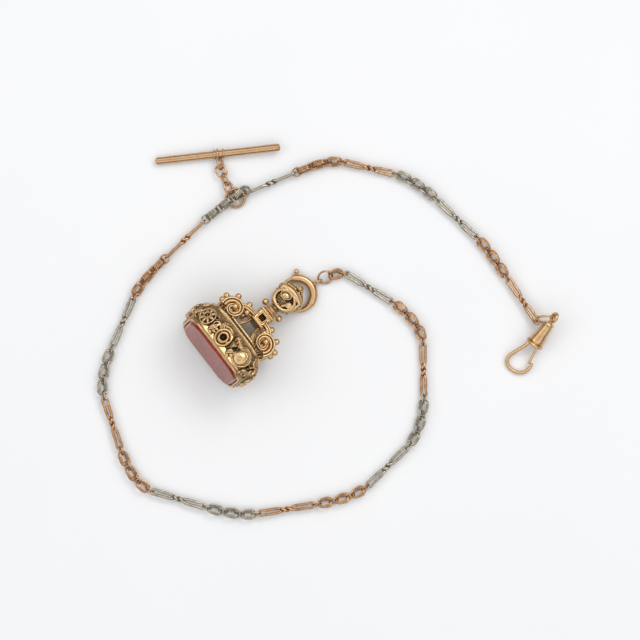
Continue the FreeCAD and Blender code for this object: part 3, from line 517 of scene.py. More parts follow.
class Relief:
    """A height field on a grid of running coordinate x and height y, in millimetres."""

    def __init__(self, X, Y, period=None):
        self.X, self.Y, self.period = X, Y, period
        self.h = np.zeros_like(X)
        self.pit = np.zeros_like(X)

    def local(self, cx, cy, ang=0.0):
        dx = self.X - cx
        if self.period:
            dx = (dx + self.period / 2) % self.period - self.period / 2
        dy = self.Y - cy
        c, s = math.cos(ang), math.sin(ang)
        return dx * c + dy * s, -dx * s + dy * c

    def up(self, z):
        self.h = np.maximum(self.h, z)

    def dome(self, cx, cy, r, h, base=0.0, ang=0.0, stretch=1.0):
        x, y = self.local(cx, cy, ang)
        d = np.sqrt((x / stretch) ** 2 + y ** 2) / r
        self.up(np.where(d < 1, base + h * np.sqrt(np.clip(1 - d * d, 0, 1)), -9))

    def ring(self, cx, cy, r, w, h, base=0.0, ang=0.0, stretch=1.0):
        x, y = self.local(cx, cy, ang)
        d = (np.sqrt((x / stretch) ** 2 + y ** 2) - r) / w
        self.up(np.where(np.abs(d) < 1, base + h * np.sqrt(np.clip(1 - d * d, 0, 1)), -9))

    def hole(self, cx, cy, r, depth, ang=0.0, stretch=1.0):
        x, y = self.local(cx, cy, ang)
        d = np.sqrt((x / stretch) ** 2 + y ** 2) / r
        z = depth * np.clip(1.25 - d, 0, 1) ** 0.5 * (d < 1.25)
        self.pit = np.maximum(self.pit, z)

    def petal(self, cx, cy, ang, length, width, h, vein=0.35):
        """A leaf with its root at cx, cy, pointing along ang, with a sunk vein and lifted edges."""
        x, y = self.local(cx, cy, ang)
        t = x / length
        half = width * np.sqrt(np.clip(4 * t * (1 - t), 0, 1)) * (1 - 0.25 * t) + 1e-6
        d = np.abs(y) / half
        z = h * (0.45 + 0.55 * np.sqrt(np.clip(t, 0, 1))) * (np.sqrt(np.clip(1 - d ** 2, 0, 1)) - vein * np.exp(-(d / 0.22) ** 2))
        self.up(np.where((t > 0) & (t < 1) & (d < 1), z, -9))

    def line(self, pts, w, h, taper=(1.0, 1.0)):
        """A rounded ridge along a polyline of points."""
        pts = np.asarray(pts, float)
        n = len(pts) - 1
        for i in range(n):
            x0, y0 = self.local(pts[i, 0], pts[i, 1])
            ex, ey = pts[i + 1] - pts[i]
            L2 = ex * ex + ey * ey
            t = np.clip((x0 * ex + y0 * ey) / L2, 0, 1)
            d = np.hypot(x0 - t * ex, y0 - t * ey)
            k = (i + t) / n
            ww = w * (taper[0] + (taper[1] - taper[0]) * k)
            q = d / np.maximum(ww, 1e-6)
            self.up(np.where(q < 1, h * (0.6 + 0.4 * ww / w) * np.sqrt(np.clip(1 - q * q, 0, 1)), -9))

    def spiral(self, cx, cy, r0, r1, a0, turns, w, h, taper=(1.0, 0.55), sense=1):
        k = max(16, int(abs(turns) * 22))
        t = np.linspace(0, 1, k)
        ang = a0 + sense * t * turns * 2 * math.pi
        r = r0 + (r1 - r0) * t ** 0.8
        self.line(np.stack([cx + r * np.cos(ang), cy + r * np.sin(ang)], 1), w, h, taper)

    def acanthus(self, cx, cy, ang, length, width, h, lobes=4, bend=0.5):
        """A curled leaf: a bent midrib with lobes set along both its sides."""
        t = np.linspace(0, 1, 12)
        a = ang + bend * (t - 0.5)
        px = cx + np.cumsum(np.cos(a)) * length / 12
        py = cy + np.cumsum(np.sin(a)) * length / 12
        for k in range(lobes):
            f = 0.08 + 0.80 * k / max(1, lobes - 1)
            i = int(f * 11)
            for s in (-1, 1):
                self.petal(px[i], py[i], a[i] + s * (0.95 - 0.35 * f), width * (1.05 - 0.45 * f), width * 0.30, h * (0.85 - 0.2 * f), 0.25)
        self.petal(px[7], py[7], a[-1], width * 0.9, width * 0.30, h * 0.85, 0.25)
        self.line(np.stack([px, py], 1), width * 0.17, h, (1.0, 0.5))


def shade_of(h, pit, k=3, bg=0.0):
    """1 on crests, 0 in recesses, from the height and from how it stands over its surroundings."""
    z = h - pit
    near = z - box_blur(z, k)
    far = z - box_blur(z, k * 4)
    return np.clip(0.42 + 0.42 * (z - bg) + 1.5 * near + 0.55 * far, 0, 1)


# ------------------------------------------------------------------ setting of the seal
def profile_rows(keys, n):
    keys = np.asarray(keys, float)
    seg = np.linalg.norm(np.diff(keys[:, :2] * [1, 1], axis=0), axis=1)
    seg = np.hypot(np.diff(keys[:, 0]), np.diff(keys[:, 1]))
    at = np.concatenate([[0], np.cumsum(np.maximum(seg, 0.05))])
    t = np.linspace(0, at[-1], n)
    return np.stack([np.interp(t, at, keys[:, k]) for k in range(4)], 1)


def smooth_rows(rows, k=2, keep=3):
    out = rows.copy()
    for _ in range(k):
        out[keep:-keep] = (out[keep - 1:-keep - 1] + 2 * out[keep:-keep] + out[keep + 1:len(out) - keep + 1]) / 4
    return out


PER = perimeter()
COLS = 860
keys = [(2.30, 9.10, 11.0, 5.2), (0.35, 9.22, 11.12, 5.3), (0.02, 9.34, 11.24, 5.4), (-0.10, 9.52, 11.5, 5.6), (0.20, 9.72, 11.85, 5.8), (1.1, 9.98, 12.5, 6.3),
        (2.4, 10.15, 12.95, 6.7), (3.8, 10.18, 13.05, 6.8), (5.4, 10.0, 12.9, 6.7), (6.8, 9.35, 12.2, 6.4), (7.8, 8.45, 11.2, 5.9), (8.2, 8.2, 10.9, 5.8),
        (8.38, 7.85, 10.6, 5.6), (8.42, 7.2, 9.9, 5.4), (8.7, 6.5, 9.1, 5.0), (9.2, 6.0, 8.4, 4.8), (9.6, 5.5, 7.7, 4.5)]
rows = smooth_rows(profile_rows(keys, 150), 4)
pgrid = np.linspace(0, PER, COLS, endpoint=False)
base = np.zeros((len(rows), COLS, 3))
for i, (s, hw, hv, c) in enumerate(rows):
    w, v = outline(pgrid, hw, hv, c)
    base[i, :, 0], base[i, :, 1], base[i, :, 2] = w, v, s
Xg = np.repeat(pgrid[None, :], len(rows), 0)
Yg = base[:, :, 2]
rel = Relief(Xg, 0.35 + (Yg - 0.15) * 0.86, PER)
HALF = PER / 2

for side in (0.0, HALF):
    # corner rosette: eight petals, a bead ring and a raised eye
    cx, cy = side - 9.1, 3.2
    rel.ring(cx, cy, 2.35, 0.28, 0.42)
    for k in range(8):
        a = k * math.pi / 4 + 0.2
        rel.petal(cx + 0.65 * math.cos(a), cy + 0.65 * math.sin(a), a, 1.55, 0.55, 0.72, 0.22)
    rel.ring(cx, cy, 0.78, 0.26, 0.92)
    rel.hole(cx, cy, 0.42, 0.25)
    rel.dome(cx, cy, 0.36, 0.78)
    # volute with a deep eye in the middle of the side
    cx, cy = side - 1.25, 2.75
    rel.dome(cx, cy, 2.45, 0.42)
    rel.ring(cx, cy, 2.18, 0.42, 0.80)
    rel.ring(cx, cy, 1.20, 0.46, 1.00)
    rel.hole(cx, cy, 0.72, 0.62)
    rel.dome(cx, cy, 0.40, 0.10)
    rel.spiral(cx - 0.2, cy + 0.1, 3.3, 2.2, 2.5, 0.42, 0.42, 0.85, (0.5, 1.1), -1)
    # domed scalloped boss towards the corner
    cx, cy = side + 6.5, 3.55
    rel.dome(cx, cy, 2.55, 1.02)
    rel.ring(cx, cy, 2.75, 0.25, 0.40)
    for k in range(7):
        a = 0.1 + k * 0.42
        rel.hole(cx + 1.75 * math.cos(a), cy + 1.75 * math.sin(a), 0.20, 0.42)
    for k in range(5):
        a = -0.25 + k * 0.5
        rel.hole(cx + 0.95 * math.cos(a), cy + 0.95 * math.sin(a), 0.13, 0.22)
    # leaves between them
    rel.acanthus(side - 5.9, 1.0, 1.15, 3.2, 1.7, 0.85, 4, 0.9)
    rel.acanthus(side - 4.6, 5.8, -0.9, 2.9, 1.5, 0.78, 4, -0.8)
    rel.spiral(side - 5.2, 3.3, 1.3, 0.35, 0.3, 1.1, 0.30, 0.80)
    rel.acanthus(side + 2.3, 0.9, 0.95, 3.3, 1.7, 0.9, 4, 0.8)
    rel.acanthus(side + 1.2, 6.2, -0.35, 3.6, 1.4, 0.75, 4, 0.5)
    rel.hole(side + 3.6, 3.5, 0.62, 0.62, 0.7, 1.5)
    rel.hole(side - 4.2, 3.5, 0.34, 0.5)
    rel.hole(side - 6.7, 4.9, 0.42, 0.5)
    rel.hole(side - 12.3, 1.7, 0.40, 0.5)
    rel.acanthus(side - 14.6, 1.3, 0.55, 3.4, 1.6, 0.82, 4, 0.9)
    rel.acanthus(side - 12.4, 5.6, 2.9, 3.0, 1.4, 0.75, 4, -0.7)
    rel.acanthus(side + 9.4, 1.2, 0.5, 3.3, 1.6, 0.85, 4, 0.9)
    rel.acanthus(side + 10.1, 5.6, -0.2, 3.2, 1.5, 0.80, 4, -0.7)
    rel.spiral(side + 12.2, 3.5, 1.5, 0.3, 3.0, 1.2, 0.32, 0.85, (1.0, 0.6), -1)
    for a_, b_, r_ in ((10.0, 3.3, 0.42), (11.4, 1.5, 0.30), (13.6, 1.1, 0.36), (14.4, 4.8, 0.44), (9.4, 5.2, 0.30), (13.2, 6.0, 0.28)):
        rel.hole(side + a_, b_, r_, 0.6)
for end in (PER / 4, -PER / 4):
    rel.dome(end, 3.1, 1.5, 0.9, 0.0, 0.0, 1.25)
    rel.ring(end, 3.1, 2.1, 0.30, 0.72, 0.0, 0.0, 1.2)
    for k in range(9):
        a = math.pi * (0.08 + 0.84 * k / 8)
        rel.petal(end + 0.8 * math.cos(a), 3.1 + 0.8 * math.sin(a), a, 2.9, 0.42, 0.85, 0.25)
    for sgn in (-1, 1):
        rel.spiral(end + sgn * 3.7, 2.5, 1.5, 0.3, math.pi / 2, 1.3, 0.34, 0.88, (1.0, 0.6), sgn)
        rel.acanthus(end + sgn * 3.2, 5.9, math.pi / 2 - sgn * 1.35, 2.2, 1.1, 0.7, 3, 0.4)
        rel.hole(end + sgn * 2.2, 1.2, 0.32, 0.5)
# punched ground
dots = np.zeros_like(Xg)
for _ in range(2200):
    a, b, r = rng.uniform(0, PER), rng.uniform(0.3, 8.0), rng.uniform(0.10, 0.19)
    j0 = int(a / PER * COLS)
    jj = (np.arange(j0 - 4, j0 + 5)) % COLS
    sub = np.ix_(np.arange(len(rows)), jj)
    dx = (Xg[sub] - a + PER / 2) % PER - PER / 2
    d = np.hypot(dx, Yg[sub] - b) / r
    dots[sub] = np.maximum(dots[sub], np.where(d < 1, np.sqrt(np.clip(1 - d * d, 0, 1)), 0))
ground = rel.h < 0.12
height = rel.h + np.where(ground, 0.11 * dots, 0.0)
height = box_blur(height, 1)
pit = box_blur(rel.pit, 1)
# plain rims in front and behind
front = np.clip((Yg - 0.02) / 0.22, 0, 1)
back = np.clip((8.15 - Yg) / 0.25, 0, 1)
on = front * back
outer = (np.arange(len(rows)) > np.argmin(rows[:, 0]))[:, None]
on = on * outer
inset = 0.78
N = normals_of(base)
# the normals must point away from the middle of the seal
flip = np.sign((N[..., 0] * base[..., 0] + N[..., 1] * (base[..., 1] + 1.0)).sum())
N = N * (flip if flip != 0 else 1)
worn = 0.025 * np.sin(Xg * 1.7 + 3 * np.sin(Yg)) * on
disp = on * (height - pit - inset) + worn - 0.02
shape = base + N * disp[..., None]
# nothing stands above the part's own top
top = FACE[2] + shape[..., 0] * W_DIR[2] + shape[..., 2] * S_DIR[2]
shape[..., 0] -= np.maximum(top - 20.78, 0) / W_DIR[2]
high = shade_of(height, pit, 3, 0.25)
high = np.where(on > 0.5, high, 0.72)
# painted shade: the band behind the back ledge, where the setting falls away out of the light, gets a low 'high' value
# and so the dark colour
back_band_painted_shade = (Yg > 8.4)
high = np.where(back_band_painted_shade, 0.22, high)
high = np.where((Yg < 0.45) & outer, 0.46, high)
co, fc, hh = capped(shape, high)
P_ = Parts()
P_.add(co, fc, hh)
P_.piece("seal_setting_carved", RELIEF, "seal", ("seal_setting",))

# ------------------------------------------------------------------ bezel: a thin worn rim round the stone
bz = [(2.25, 0.14), (1.0, 0.13), (0.0, 0.12), (-0.26, 0.15), (-0.40, 0.27), (-0.44, 0.42), (-0.40, 0.57), (-0.26, 0.68), (0.0, 0.73), (0.5, 0.75), (1.4, 0.74), (2.25, 0.72)]
bzc = 480
bp = np.linspace(0, PER, bzc, endpoint=False)
ring_rows = np.zeros((len(bz), bzc, 3))
for i, (s, off) in enumerate(bz):
    w, v = outline(bp, 8.5 + off, 10.4 + off, 4.6 + off)
    ring_rows[i, :, 0], ring_rows[i, :, 1] = w, v
    ring_rows[i, :, 2] = s + (0.03 * np.sin(bp * 0.9) + 0.02 * np.sin(bp * 2.7 + 1)) * (s < 0.2)
P_ = Parts()
P_.add(ring_rows, grid_faces(len(bz), bzc, True, True), np.full(len(bz) * bzc, 0.82))
P_.piece("seal_bezel_rim", RELIEF, "seal", ("seal_bezel",))

# ------------------------------------------------------------------ shoulder plate with a gadrooned edge
sk = [(9.55, 4.2, 6.2, 3.2), (9.6, 4.45, 6.5, 3.5), (9.75, 4.62, 6.66, 3.6), (10.1, 4.62, 6.66, 3.6), (10.35, 4.45, 6.5, 3.5), (10.42, 4.1, 6.1, 3.3), (10.30, 3.6, 5.6, 3.0), (10.46, 3.2, 5.2, 2.8), (10.48, 2.0, 4.0, 1.9)]
sr = profile_rows(sk, 40)
sc_ = 300
REF2 = (4.6, 6.6, 3.6)
PER2 = perimeter(REF2)
sp = np.linspace(0, PER2, sc_, endpoint=False)
g = np.zeros((len(sr), sc_, 3))
for i, (s, hw, hv, c) in enumerate(sr):
    w, v = outline(sp, hw, hv, c, -0.4, REF2)
    gad = 1 - 0.022 * (0.5 + 0.5 * np.cos(sp / PER2 * 2 * np.pi * 44)) * (9.65 < s < 10.36)
    g[i, :, 0], g[i, :, 1], g[i, :, 2] = w * gad, (v + 0.4) * gad - 0.4, s
co, fc, hh = capped(g, np.where((g[..., 2] > 10.28), 0.45, 0.7))
P_ = Parts()
P_.add(co, fc, hh)
P_.piece("seal_shoulder_plate", RELIEF, "seal", ("seal_shoulder",))


# ------------------------------------------------------------------ scrolls
def spiral_path(cv, cs, sgn, w, big=2.9, step=0.85, start=-0.5, n=130):
    """The same three half circles as the part, as one list of points; start, the angle where it starts, is not used."""
    pts = []
    centre, radius, at = 0.0, big, -big
    for k in range(3):
        way = 1 if k % 2 == 0 else -1
        t = np.linspace(-math.pi / 2, math.pi / 2, n // 3, endpoint=False)
        yy = radius * np.cos(t)
        zz = centre + way * radius * np.sin(t)
        if way < 0:
            yy = -yy
        pts += [(w, cv + sgn * y, cs + z) for y, z in zip(yy, zz)]
        end = centre + way * radius
        radius -= step
        centre = end - way * radius
    p = np.array(pts)
    # rounded where the half circles meet
    for _ in range(6):
        p[1:-1] = (p[:-2] + 2 * p[1:-1] + p[2:]) / 4
    return p


def smoothed(p, k=4):
    p = p.copy()
    for _ in range(k):
        p[1:-1] = (p[:-2] + 2 * p[1:-1] + p[2:]) / 4
    return p


def scroll_shells(parts, cv, cs, sgn, w, foot, lift):
    p = spiral_path(cv, cs, sgn, w)
    t = np.linspace(0, 1, len(p))
    # the band rolls outward in w towards its eye
    p[:, 0] = w + lift * 0.35 * t
    p = p[p[:, 2] > 10.15]
    n = len(p)
    r = 1.06 - 0.46 * np.linspace(0, 1, n) ** 1.2
    gr, hi = tube(p, r, 40, False, (0.98, 1.2), (1.0, 0, 0), 0.34)
    co, fc, hh = capped(gr, hi)
    parts.add(co, fc, hh)
    # an inner leaf that follows the band, and the eye
    q = p[int(n * 0.30):int(n * 0.80)].copy()
    c = np.array([w, cv, cs])
    q[:, 1:] = c[1:] + (q[:, 1:] - c[1:]) * 0.62
    gr, hi = tube(smoothed(q), np.interp(np.linspace(0, 1, len(q)), [0, 0.5, 1], [0.18, 0.46, 0.2]), 20, False, (0.9, 1.3), (1.0, 0, 0), 0.22)
    co, fc, hh = capped(gr, hi)
    parts.add(co, fc, hh)
    e = p[-1]
    b = ball(e, 1.05)
    co, fc, hh = capped(b, np.full(b.shape[:2], 0.85))
    parts.add(co, fc, hh)
    b = ball(e + [lift * 0.62, 0, 0], 0.40, 12, 18)
    co, fc, hh = capped(b, np.full(b.shape[:2], 0.9))
    parts.add(co, fc, hh)
    # the arm to the block, swelling in the middle
    a, z = np.array([w, cv - sgn * 0.2, cs + 2.72]), np.array([w * 0.93, foot[0], foot[1]])
    m = np.linspace(0, 1, 34)[:, None]
    arch = np.array([0, 0, 0.45])
    path = a + (z - a) * m + arch * np.sin(m * math.pi)
    rr = 0.74 + 0.14 * np.sin(np.linspace(0, math.pi, 34))
    gr, hi = tube(path, rr, 32, False, (0.95, 1.15), (1.0, 0, 0), 0.24)
    co, fc, hh = capped(gr, hi)
    parts.add(co, fc, hh)
    # outer rolled lip of the band, seen as a second line
    q = p[:int(n * 0.46)].copy()
    q[:, 1:] = c[1:] + (q[:, 1:] - c[1:]) * 1.16
    q[:, 0] = w + lift * 0.55
    q = q[q[:, 2] > 10.3]
    gr, hi = tube(smoothed(q), np.interp(np.linspace(0, 1, len(q)), [0, 0.5, 1], [0.16, 0.26, 0.14]), 16, False, None, (1.0, 0, 0))
    co, fc, hh = capped(gr, hi + 0.1)
    parts.add(co, fc, hh)


for label, w, node in (("scrolls_near_carved", 3.3, "seal_scrolls_near"), ("scrolls_far_carved", -3.3, "seal_scrolls_far")):
    P_ = Parts()
    lift = 1.0 if w > 0 else -1.0
    scroll_shells(P_, -7.0, 11.4, -1, w, (-1.9, 15.8), lift)
    scroll_shells(P_, 5.9, 12.1, 1, w, (1.9, 16.3), lift)
    # cross leaves that tie the near and far scrolls together are on the near piece
    if w > 0:
        for cv, cs in ((-9.6, 12.6), (8.7, 13.2)):
            path = np.stack([np.linspace(3.0, -3.0, 30), cv + 0.5 * np.sin(np.linspace(0, math.pi, 30)) * (1 if cv > 0 else -1), np.full(30, cs)], 1)
            gr, hi = tube(path, 0.55 + 0.22 * np.cos(np.linspace(0, 4 * math.pi, 30)), 24, False, None, (0, 0, 1.0))
            co, fc, hh = capped(gr, hi - 0.2)
            P_.add(co, fc, hh)
    P_.piece(label, RELIEF, "seal", (node,))

# ------------------------------------------------------------------ beads with a collar at the root
rim = 2.9 + 0.75 + 0.9 - 0.35
BEADS = [(-7.0 - rim * 0.95, 11.4 + rim * 0.31), (-7.0 - rim * 0.42, 11.4 + rim * 0.907), (-5.0, 16.2), (-3.75, 14.3),
         (5.9 + rim * 0.94, 12.1 + rim * 0.34), (5.9 + rim * 0.45, 12.1 + rim * 0.893), (4.4, 16.85), (3.75, 14.6)]
P_ = Parts()
for w in (3.3, -3.3):
    for k, (v, s) in enumerate(BEADS):
        c = np.array([w, v, s])
        b = ball(c, 0.90)
        co, fc, hh = capped(b, np.full(b.shape[:2], 0.86))
        P_.add(co, fc, hh)
        # a collar where the bead meets the scroll
        root = np.array([w, -7.0 if v < 0 else 5.9, 11.4 if v < 0 else 12.1]) if k % 4 < 2 else np.array([w, v * 0.8, s - 1.2])
        d = unit(root - c)
        a1 = unit(np.cross(d, [1.0, 0.2, 0.1]))
        a2 = np.cross(d, a1)
        t = np.linspace(0, 2 * math.pi, 22, endpoint=False)
        loop = (c + d * 0.72) + 0.52 * (np.cos(t)[:, None] * a1 + np.sin(t)[:, None] * a2)
        gr, hi = tube(loop, 0.17, 10, True)
        P_.add(gr.reshape(-1, 3), grid_faces(22, 10, True, True), hi.ravel() - 0.3)
P_.piece("seal_bead_row", RELIEF, "seal", ("seal_beads",))

# ------------------------------------------------------------------ block with sunk panels
bk = [(14.62, 1.7, 1.3, 0.4), (14.72, 2.75, 1.95, 0.5), (14.85, 3.05, 2.30, 0.55), (15.25, 3.10, 2.36, 0.55), (15.42, 2.85, 2.15, 0.5), (15.55, 2.72, 2.02, 0.45), (16.3, 2.70, 2.0, 0.45), (17.9, 2.70, 2.06, 0.45),
      (18.45, 2.74, 2.2, 0.45), (18.6, 3.0, 2.5, 0.5), (18.9, 3.10, 2.66, 0.55), (19.2, 3.0, 2.55, 0.55), (19.35, 2.7, 2.25, 0.5), (19.5, 2.5, 2.1, 0.5), (19.58, 1.6, 1.3, 0.4)]
br = profile_rows(bk, 90)
REF3 = (2.7, 2.0, 0.45)
PER3 = perimeter(REF3)
bc = 300
bpp = np.linspace(0, PER3, bc, endpoint=False)
g = np.zeros((len(br), bc, 3))
for i, (s, hw, hv, c) in enumerate(br):
    w, v = outline(bpp, hw, hv, c, 0.0, REF3)
    g[i, :, 0], g[i, :, 1], g[i, :, 2] = w, v, s
rb = Relief(np.repeat(bpp[None, :], len(br), 0), g[:, :, 2], PER3)
for q in range(4):
    cx = (0.0, PER3 / 4, PER3 / 2, PER3 * 3 / 4)[q]
    sq = np.maximum(np.abs(rb.local(cx, 17.0)[0]), np.abs(rb.local(cx, 17.0)[1]) * 1.05)
    rb.up(np.where((sq > 0.86) & (sq < 1.30), 0.30 * np.sqrt(np.clip(1 - ((sq - 1.08) / 0.22) ** 2, 0, 1)), -9))
    rb.pit = np.maximum(rb.pit, np.clip((0.86 - sq) / 0.20, 0, 1) * 0.85)
    rb.dome(cx - 1.55, 17.0, 0.26, 0.25)
    rb.dome(cx + 1.55, 17.0, 0.26, 0.25)
    rb.petal(cx, 16.0, math.pi / 2, 1.2, 0.4, 0.1, 0.2)
N = normals_of(g)
f_ = np.sign((N[..., 0] * g[..., 0] + N[..., 1] * g[..., 1]).sum())
z = box_blur(rb.h, 1) - box_blur(rb.pit, 1)
ends_mask = ((g[:, :, 2] > 15.5) & (g[:, :, 2] < 18.5)).astype(float)
g2 = g + N * f_ * (z * ends_mask)[..., None]
co, fc, hh = capped(g2, np.clip(0.72 + 0.9 * z * ends_mask + 0.3 * (z > 0.1), 0, 1))
P_ = Parts()
P_.add(co, fc, hh)
for sgn in (-1, 1):
    m = np.linspace(0, 1, 40)[:, None]
    a, b = np.array([0.0, sgn * 3.5, 10.46]), np.array([0.0, sgn * 2.0, 14.75])
    path = a + (b - a) * m + np.array([0, -sgn * 0.55, 0]) * np.sin(m * math.pi)
    gr, hi = tube(path, 0.62 + 0.35 * np.abs(np.linspace(-1, 1, 40)) ** 2, 30, False, (0.9, 1.5), (1.0, 0, 0), 0.25)
    co, fc, hh = capped(gr, hi)
    P_.add(co, fc, hh)
    bl = ball([0, sgn * 2.55, 12.6], 0.62, 12, 20)
    co, fc, hh = capped(bl, np.full(bl.shape[:2], 0.8))
    P_.add(co, fc, hh)
P_.piece("seal_block_carved", RELIEF, "seal", ("seal_block",))

# ------------------------------------------------------------------ neck, two milled rings
nk = [(19.6, 0.5), (19.6, 1.55), (19.68, 1.75), (19.85, 2.05), (20.1, 2.16), (20.32, 2.05), (20.48, 1.78), (20.62, 1.74), (20.8, 1.95), (21.0, 2.03), (21.2, 1.93), (21.4, 1.6), (21.7, 1.42), (22.1, 1.36), (22.38, 1.38), (22.4, 0.5)]
nk = np.array(nk)
at = np.concatenate([[0], np.cumsum(np.hypot(np.diff(nk[:, 0]), np.diff(nk[:, 1])))])
tt = np.linspace(0, at[-1], 70)
ss, rr = np.interp(tt, at, nk[:, 0]), np.interp(tt, at, nk[:, 1])
ph = np.linspace(0, 2 * math.pi, 120, endpoint=False)
mill = 0.07 * np.clip((rr[:, None] - 1.85) / 0.15, 0, 1) * (np.cos(ph * 26 + ss[:, None] * 4)[...])
R_ = rr[:, None] + mill
g = np.stack([R_ * np.cos(ph), R_ * np.sin(ph), np.repeat(ss[:, None], 120, 1)], -1)
co, fc, hh = capped(g, np.clip(0.35 + 0.75 * (R_ - 1.5), 0, 1))
P_ = Parts()
P_.add(co, fc, hh)
P_.piece("seal_neck_milled", RELIEF, "seal", ("seal_neck",))

P_ = Parts()
for sgn in (-1, 1):
    b = ball([0, sgn * 3.1, 21.3], 0.95, 20, 30)
    co, fc, hh = capped(b, np.full(b.shape[:2], 0.85))
    P_.add(co, fc, hh)
    path = np.stack([np.zeros(14), sgn * np.linspace(1.6, 2.5, 14), np.full(14, 21.3)], 1)
    gr, hi = tube(path, np.interp(np.linspace(0, 1, 14), [0, 0.4, 0.6, 1], [0.55, 0.42, 0.5, 0.62]), 20)
    co, fc, hh = capped(gr, hi - 0.25)
    P_.add(co, fc, hh)
P_.piece("seal_neck_side_balls", RELIEF, "seal", ("seal_neck_balls",))

# ------------------------------------------------------------------ finial: basket body, frame bands, crown and loop
fr_, fcn = 150, 340
u = np.linspace(0.02, math.pi - 0.02, fr_)
ph = np.linspace(0, 2 * math.pi, fcn, endpoint=False)
hs_, hv_, hw_ = 4.42, 4.3, 2.3
cs_ = np.sign(np.cos(ph)) * np.abs(np.cos(ph)) ** 0.86
sn_ = np.sign(np.sin(ph)) * np.abs(np.sin(ph)) ** 0.86
bx = hw_ * np.sin(u)[:, None] ** 0.8 * cs_
by = hv_ * np.sin(u)[:, None] ** 0.85 * sn_
bz_ = 26.9 - hs_ * np.cos(u)[:, None] * np.ones(fcn)
g = np.stack([bx, by, bz_], -1)
Xf, Yf = g[..., 1], g[..., 2] - 26.9
rf = Relief(Xf, Yf)
# long oval frame with its sunk panel
rf.ring(-0.2, -1.45, 2.70, 0.46, 0.66, 0.0, 0.0, 1.22)
inside = np.hypot((Xf + 0.2) / 1.22, Yf + 1.45) < 2.35
gran = np.zeros_like(Xf)
pitch = 0.52
for i in range(-7, 8):
    for j in range(-7, 8):
        gx, gy = (i + 0.5 * (j % 2)) * pitch - 0.9, j * pitch * 0.866 - 2.6
        if np.hypot((gx + 1.0) / 1.1, gy + 2.5) < 1.75 and np.hypot((gx + 0.2) / 1.22, gy + 1.45) < 2.1:
            d = np.hypot(Xf - gx, Yf - gy) / 0.24
            gran = np.maximum(gran, np.where(d < 1, np.sqrt(np.clip(1 - d * d, 0, 1)), 0))
rf.up(np.where(inside, -0.15 + 0.42 * gran, -9))
rf.dome(-0.9, -0.35, 0.95, 0.62, 0.0, 0.35, 1.45)
rf.ring(-0.9, -0.35, 1.12, 0.16, 0.45, 0.0, 0.35, 1.4)
rf.dome(1.75, -1.6, 1.0, 0.5, 0.0, 0.9, 1.1)
rf.ring(1.75, -1.6, 0.72, 0.16, 0.66, 0.0, 0.9, 1.1)
rf.petal(0.6, -3.6, 1.2, 2.0, 0.5, 0.6, 0.3)
# smooth strap over the shoulder and the scrolled crown
t_ = np.linspace(0, 1, 26)
rf.line(np.stack([-4.1 + 8.2 * t_, 1.0 + 0.85 * np.sin(t_ * math.pi * 0.95)], 1), 0.74, 0.95)
rf.line(np.stack([-3.4 + 6.8 * t_, 2.35 + 0.55 * np.sin(t_ * math.pi)], 1), 0.26, 0.62)
for sgn in (-1, 1):
    rf.spiral(sgn * 1.35, 3.35, 0.95, 0.2, math.pi / 2, 1.2, 0.28, 0.85, (1.0, 0.7), sgn)
    rf.line(np.stack([sgn * (3.35 + 0.25 * np.sin(t_ * math.pi)), -2.9 + 3.9 * t_], 1), 0.34, 0.62)
rf.hole(0.0, 2.9, 0.30, 0.35)
rf.hole(-2.4, 2.0, 0.22, 0.3)
rf.hole(2.5, 2.1, 0.22, 0.3)
for k in range(9):
    rf.dome(-2.6 + 0.65 * k, -3.75 + 0.16 * (k - 4) ** 2 * 0.35, 0.26, 0.42)
edge_w = np.clip(np.abs(g[..., 0]) / 0.6, 0, 1)
hgt = box_blur(rf.h, 1) - box_blur(rf.pit, 1)
N = normals_of(g)
f_ = np.sign((N[..., 0] * g[..., 0] + N[..., 1] * g[..., 1]).sum())
rope = 0.18 * np.sin(Yf * 6.5) * (1 - edge_w) * np.clip(np.abs(Xf) - 2.5, 0, 1)
poles = np.clip(np.sin(u) / 0.25, 0, 1)[:, None]
dz = (hgt * edge_w - 0.42 + 0.30 * (1 - edge_w) + rope) * poles
g2 = g + N * f_ * dz[..., None]
hi = np.clip(0.30 + 0.95 * hgt + 1.6 * (hgt - box_blur(hgt, 4)), 0, 1) * edge_w + (0.55 + 2.0 * rope) * (1 - edge_w)
hi = np.where(inside & (hgt < 0.32), 0.04 + 0.42 * gran, hi)
co, fc, hh = capped(g2, np.clip(hi, 0, 1))
P_ = Parts()
P_.add(co, fc, hh)
# crown collar and loop
path = np.stack([np.zeros(16), np.zeros(16), np.linspace(30.7, 32.25, 16)], 1)
gr, hi = tube(path, np.interp(np.linspace(0, 1, 16), [0, 0.25, 0.45, 0.7, 1], [1.25, 1.0, 1.12, 0.95, 0.7]), 36)
co, fc, hh = capped(gr, hi - 0.2)
P_.add(co, fc, hh)
LOOP_W = np.array([-9.97, 4.37, 1.42]) + SHIFT
d = LOOP_W - FACE
lc = np.array([d @ W_DIR, d @ V_DIR, d @ S_DIR])
t = np.linspace(0, 2 * math.pi, 72, endpoint=False)
loop = lc + 1.1 * np.stack([np.cos(t), np.zeros(72), np.sin(t)], 1)
gr, hi = tube(loop, 0.3, 20, True, None, (0, 1.0, 0))
P_.add(gr.reshape(-1, 3), grid_faces(72, 20, True, True), hi.ravel())
P_.piece("seal_finial_carved", RELIEF, "seal", ("seal_finial",))

